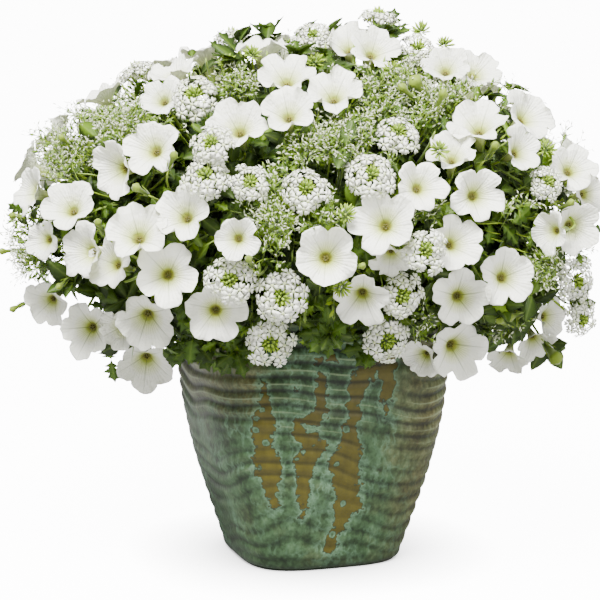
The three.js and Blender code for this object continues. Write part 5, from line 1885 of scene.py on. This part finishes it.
    def skirt_path(self, turn: float, rng: np.random.Generator) -> Array:
        """The path of a shoot that leans out over the rim, further and lower beside the pot."""
        way = ring_at(turn, 1.0, 0.0)
        beside = abs(way[0])
        out = self.pot.rim_half * float(self.pot.reach(turn)) + rng.uniform(8, 26 + 62 * beside)
        tip = way * out + vec(0, 0, 284 - rng.uniform(0, 20 + 46 * beside**2))
        return bend(BUSH.root(way * 130 + vec(0, 0, 330)), way * (out - 6) + vec(0, 0, 322), tip, 13)

    @staticmethod
    def is_too_low(tip: Array) -> bool:
        """Whether a shoot's tip would hang in front of the pot or into it."""
        pot_half, pot_top, lowest = 175, 62, 180
        beside = abs(tip[0])
        over_pot = max(0.0, 1 - (beside / pot_half) ** 2)
        return tip[2] < 196 + pot_top * over_pot + 0.12 * max(0.0, beside - pot_half) or tip[2] < lowest

    def along_shoots(
        self, habit: Habit, paths: list[Array], clear: KeepClear, rng: np.random.Generator
    ) -> list[Leaf]:
        """Leaves along the outer part of each shoot, clear of the flowers and the pot."""
        leaves: list[Leaf] = []
        for path in paths:
            steps = np.linalg.norm(np.diff(path, axis=0), axis=1)
            travelled = np.concatenate([[0], np.cumsum(steps)])
            outer = max(travelled[-1] - self.leafy_length, 0.1 * travelled[-1])
            tangent = unit(path[-1] - path[-4])
            turn = rng.uniform(0, TURN)
            tone = rng.uniform(0.1, 0.7)
            for number, spot in enumerate(np.arange(travelled[-1], outer, -habit.spacing)):
                at = np.array([np.interp(spot, travelled, path[:, k]) for k in range(3)])
                normal = MOUND.normal(at)
                side = unit(np.cross(tangent, normal + vec(0.01, 0.02, 0.4)))
                other = np.cross(tangent, side)
                age = min(number, 3)
                turn += 1.57 if habit.in_pairs else GOLDEN_ANGLE
                for half in (0.0, math.pi) if habit.in_pairs else (0.0,):
                    out = math.cos(turn + half) * side + math.sin(turn + half) * other
                    way = unit(out + tangent * habit.rise + rng.normal(0, 0.12, 3))
                    facing = unit(normal * 0.8 + vec(0, 0, 0.55) + tangent * 0.3 + rng.normal(0, 0.2, 3))
                    size = (0.62 + 0.13 * age) * rng.uniform(0.8, 1.15)
                    shade = float(np.clip(tone + 0.3 - 0.16 * age + rng.normal(0, 0.1), 0, 1))
                    leaves.append(Leaf(at, way, facing, size, shade))
        starts, ways, facings, sizes, _ = (np.array(column) for column in zip(*leaves))
        reach = ways * sizes[:, None] * habit.length
        asides = unit(np.cross(ways, facings)) * sizes[:, None] * habit.width / 2
        free = self.free(starts, reach, asides, clear) & ((starts + reach)[:, 2] > self.lowest_tip)
        for share in (0.0, 0.5, 1.0):
            free &= ~self.pot.touched_by(starts + reach * share)
        return [leaf for leaf, is_free in zip(leaves, free) if is_free]

    def in_pairs(
        self, habit: Habit, places: list[Place], stems: Skin, clear: KeepClear, rng: np.random.Generator
    ) -> list[Leaf]:
        """Pairs of leaves that show between the flowers. Their stalks go into a skin."""
        leaves: list[Leaf] = []
        for place in places:
            turn = place.turn
            starts = np.array([place.point - place.facing * 5] * 2)
            ways = np.array([turn @ unit(vec(side, 0, 0.35)) for side in (-1, 1)])
            asides = np.cross(ways, place.facing) * habit.width / 2
            if self.free(starts, ways * habit.length, asides, clear).all():
                for start, way, shade in zip(starts, ways, rng.uniform(0.35, 0.75, 2)):
                    leaves.append(Leaf(start, way, place.facing, self.pair_size, shade))
            self.leaf_stalk(stems, place, 3)
        return leaves

    def leaf_stalk(self, stems: Skin, place: Place, sunk: float) -> None:
        """Adds the stalk that ends this far behind a place."""
        end = place.point - place.facing * sunk
        stalk(stems, BUSH.root(place.point), end, place.facing, self.stalk_radius)

    def tuft_places(self, plant: Plant) -> list[Place]:
        """Places of one plant's tufts: low between the flowers, and by turns on the top of the mound."""
        is_verbena = plant is Plant.VERBENA
        low, high = self.verbena_span
        chosen = [row for row in self.tuft_rows if (low < row[0] < high) == is_verbena]
        rows = [(*row[:4], PLAIN_WIDTH, row[4]) for row in chosen]
        left, right, near, far, step, width = self.top_tufts
        top_rows = [
            (x, y, width)
            for column, x in enumerate(range(left, right, step))
            for row, y in enumerate(range(near, far, step))
            if (column + row) % 2 == is_verbena
        ]
        return placed(rows, NEVER_BEHIND, SteadyDraws(23)) + placed_on_top(top_rows, SteadyDraws(29))

    def in_tufts(self, habit: Habit, places: list[Place], stems: Skin, clear: KeepClear) -> list[Leaf]:
        """Tufts of dark leaves that close the gaps between the flowers. Their stalks go into a skin."""
        rng = np.random.default_rng(23)
        leaves: list[Leaf] = []
        spin = np.arange(self.tuft_leaves) * GOLDEN_ANGLE
        for place in places:
            turn = place.turn
            lean = np.tile(self.tuft_leans, self.tuft_leaves // 2) + rng.normal(0, 0.1, self.tuft_leaves)
            ways = leaning(lean, spin) @ turn.T
            starts = place.point - place.facing * (4 + 5 * (lean > 1))[:, None]
            faces = unit(place.facing - ways * (ways @ place.facing)[:, None] + vec(0, 0, 0.3))
            sizes = rng.uniform(0.75, 1.15, self.tuft_leaves)
            asides = unit(np.cross(ways, faces)) * sizes[:, None] * habit.width / 2
            reach = ways * sizes[:, None] * habit.length
            free = self.free(starts, reach, asides, clear) & ~self.pot.touched_by(starts + reach)
            shades = rng.uniform(0.05, 0.5, int(free.sum()))
            leaves += map(Leaf, starts[free], ways[free], faces[free], sizes[free], shades)
            self.leaf_stalk(stems, place, 4)
        return leaves

    @staticmethod
    def free(starts: Array, ways: Array, asides: Array, clear: KeepClear) -> Array:
        """Which leaves hide no flower, by five points over each."""
        taken = np.zeros(len(starts), bool)
        for along, across in ((0.1, 0), (0.5, -1), (0.5, 1), (0.8, 0), (1.0, 0)):
            taken |= clear.holds(starts + ways * along + asides * across, behind=4)
        return ~taken


# The studio


@dataclass(frozen=True)
class PaleFloor(Finish):
    """Matt white floor paint that takes soft shadows from the lamps. A glow that lights nothing else makes it
    read as white, and a painted contact shadow dims that glow where the pot stands close."""

    paint: str = "#9c9c9a"
    roughness: float = 0.95
    glow: float = 12.5
    shade_reach_mm: float = 110.0

    def shader(self, tree: Tree) -> Socket:
        """Paint that throws little light back up, and its glow, which a painted contact shadow dims where the
        pot stands close.
        """
        seen = add_node(tree, "ShaderNodeLightPath").outputs["Is Camera Ray"]
        # Painted contact shadow: ambient occlusion dims the glow near the pot.
        near = {"samples": 12, "Distance": self.shade_reach_mm * TO_METRES}
        open_share = add_node(tree, "ShaderNodeAmbientOcclusion", near).outputs["AO"]
        glow = self.step(tree, Step.TIMES, self.step(tree, Step.POWER, open_share, 1.6), self.glow)
        settings = {"Base Color": linear(self.paint), "Roughness": self.roughness}
        settings["Emission Color"] = linear("#ffffff")
        links = {"Emission Strength": self.step(tree, Step.TIMES, seen, glow)}
        return add_node(tree, "ShaderNodeBsdfPrincipled", settings, links).outputs[0]


@dataclass(frozen=True)
class Studio:
    """The floor, the lights and the camera, with the photograph's view."""

    floor_half: float = 30.0
    sky: float = 1.35
    horizon: float = 0.25
    sensor: float = 36.0
    lamp_aim: tuple[float, float, float] = (0, 0, 0.36)
    # each lamp's name, place and width in metres, and watts
    lamps: tuple[tuple[str, tuple[float, float, float], float, float], ...] = (
        ("key_light", (-0.6, -1.7, 3.2), 1.5, 640.0),
        ("fill_light", (2.6, -1.6, 1.6), 1.8, 95.0),
    )

    def build(self) -> None:
        """Sets up the studio."""
        self.floor()
        self.sky_light()
        for lamp in self.lamps:
            self.lamp(*lamp)
        self.camera()

    def floor(self) -> None:
        """Adds the floor."""
        mesh = bpy.data.meshes.new("studio_floor")
        half = self.floor_half
        corners = [(-half, -half, 0), (half, -half, 0), (half, half, 0), (-half, half, 0)]
        mesh.from_pydata(corners, [], [(0, 1, 2, 3)])
        mesh.materials.append(PaleFloor().material())
        floor = bpy.data.objects.new("studio_floor", mesh)
        bpy.context.scene.collection.objects.link(floor)

    def sky_light(self) -> None:
        """Adds a white sky that is brightest overhead."""
        world = bpy.data.worlds.new("studio_sky")
        world.use_nodes = True
        background = world.node_tree.nodes["Background"]
        tree = world.node_tree
        place = add_node(tree, "ShaderNodeTexCoord").outputs["Generated"]
        height = add_node(tree, "ShaderNodeSeparateXYZ", {}, {0: place}).outputs["Z"]
        strength = Finish.step(tree, Step.LINE, height, self.sky - self.horizon, self.horizon)
        tree.links.new(strength, background.inputs["Strength"])
        background.inputs["Color"].default_value = linear("#ffffff")
        bpy.context.scene.world = world

    def lamp(self, name: str, place: tuple[float, float, float], size: float, watts: float) -> None:
        """Adds a soft square lamp that shines on the plant."""
        data = bpy.data.lights.new(name, "AREA")
        data.shape = "SQUARE"
        data.size = size
        data.energy = watts
        lamp = bpy.data.objects.new(name, data)
        lamp.location = place
        self.point_at(lamp, vec(*self.lamp_aim))
        bpy.context.scene.collection.objects.link(lamp)

    def camera(self) -> None:
        """Adds the camera."""
        data = bpy.data.cameras.new("camera")
        data.sensor_width = self.sensor
        data.lens = self.sensor * PICTURE.distance / (2 * PICTURE.middle * PICTURE.mm_per_pixel)
        data.clip_start, data.clip_end = 0.1, 100.0
        camera = bpy.data.objects.new("camera", data)
        aim = np.array(PICTURE.aim)
        camera.location = (aim + PICTURE.viewer * PICTURE.distance) * TO_METRES
        self.point_at(camera, aim * TO_METRES)
        bpy.context.scene.collection.objects.link(camera)
        bpy.context.scene.camera = camera

    @staticmethod
    def point_at(thing: bpy.types.Object, target: Array) -> None:
        """Turns a lamp or camera to look at a point."""
        away = Vector(target) - thing.location
        thing.rotation_euler = away.to_track_quat("-Z", "Y").to_euler()


def main() -> None:
    """Builds the plant, its pot and the studio, in order."""
    logging.basicConfig(level=logging.INFO, format="%(name)s %(message)s")
    Studio().build()
    pot = GlazedPot()
    pot.build()
    PottingMix().build(pot)
    places = Planting().places()
    Petunias().build(places["petunias"])
    heads = VerbenaHeads().build(places["verbenas"], places["bud_heads"])
    clear = KeepClear.around(places["petunias"] + heads)
    PetuniaBuds().build()
    EuphorbiaHaze().build(places["sprays"], clear)
    Foliage(pot).build(places, clear)
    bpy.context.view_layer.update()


if __name__ == "__main__":
    main()
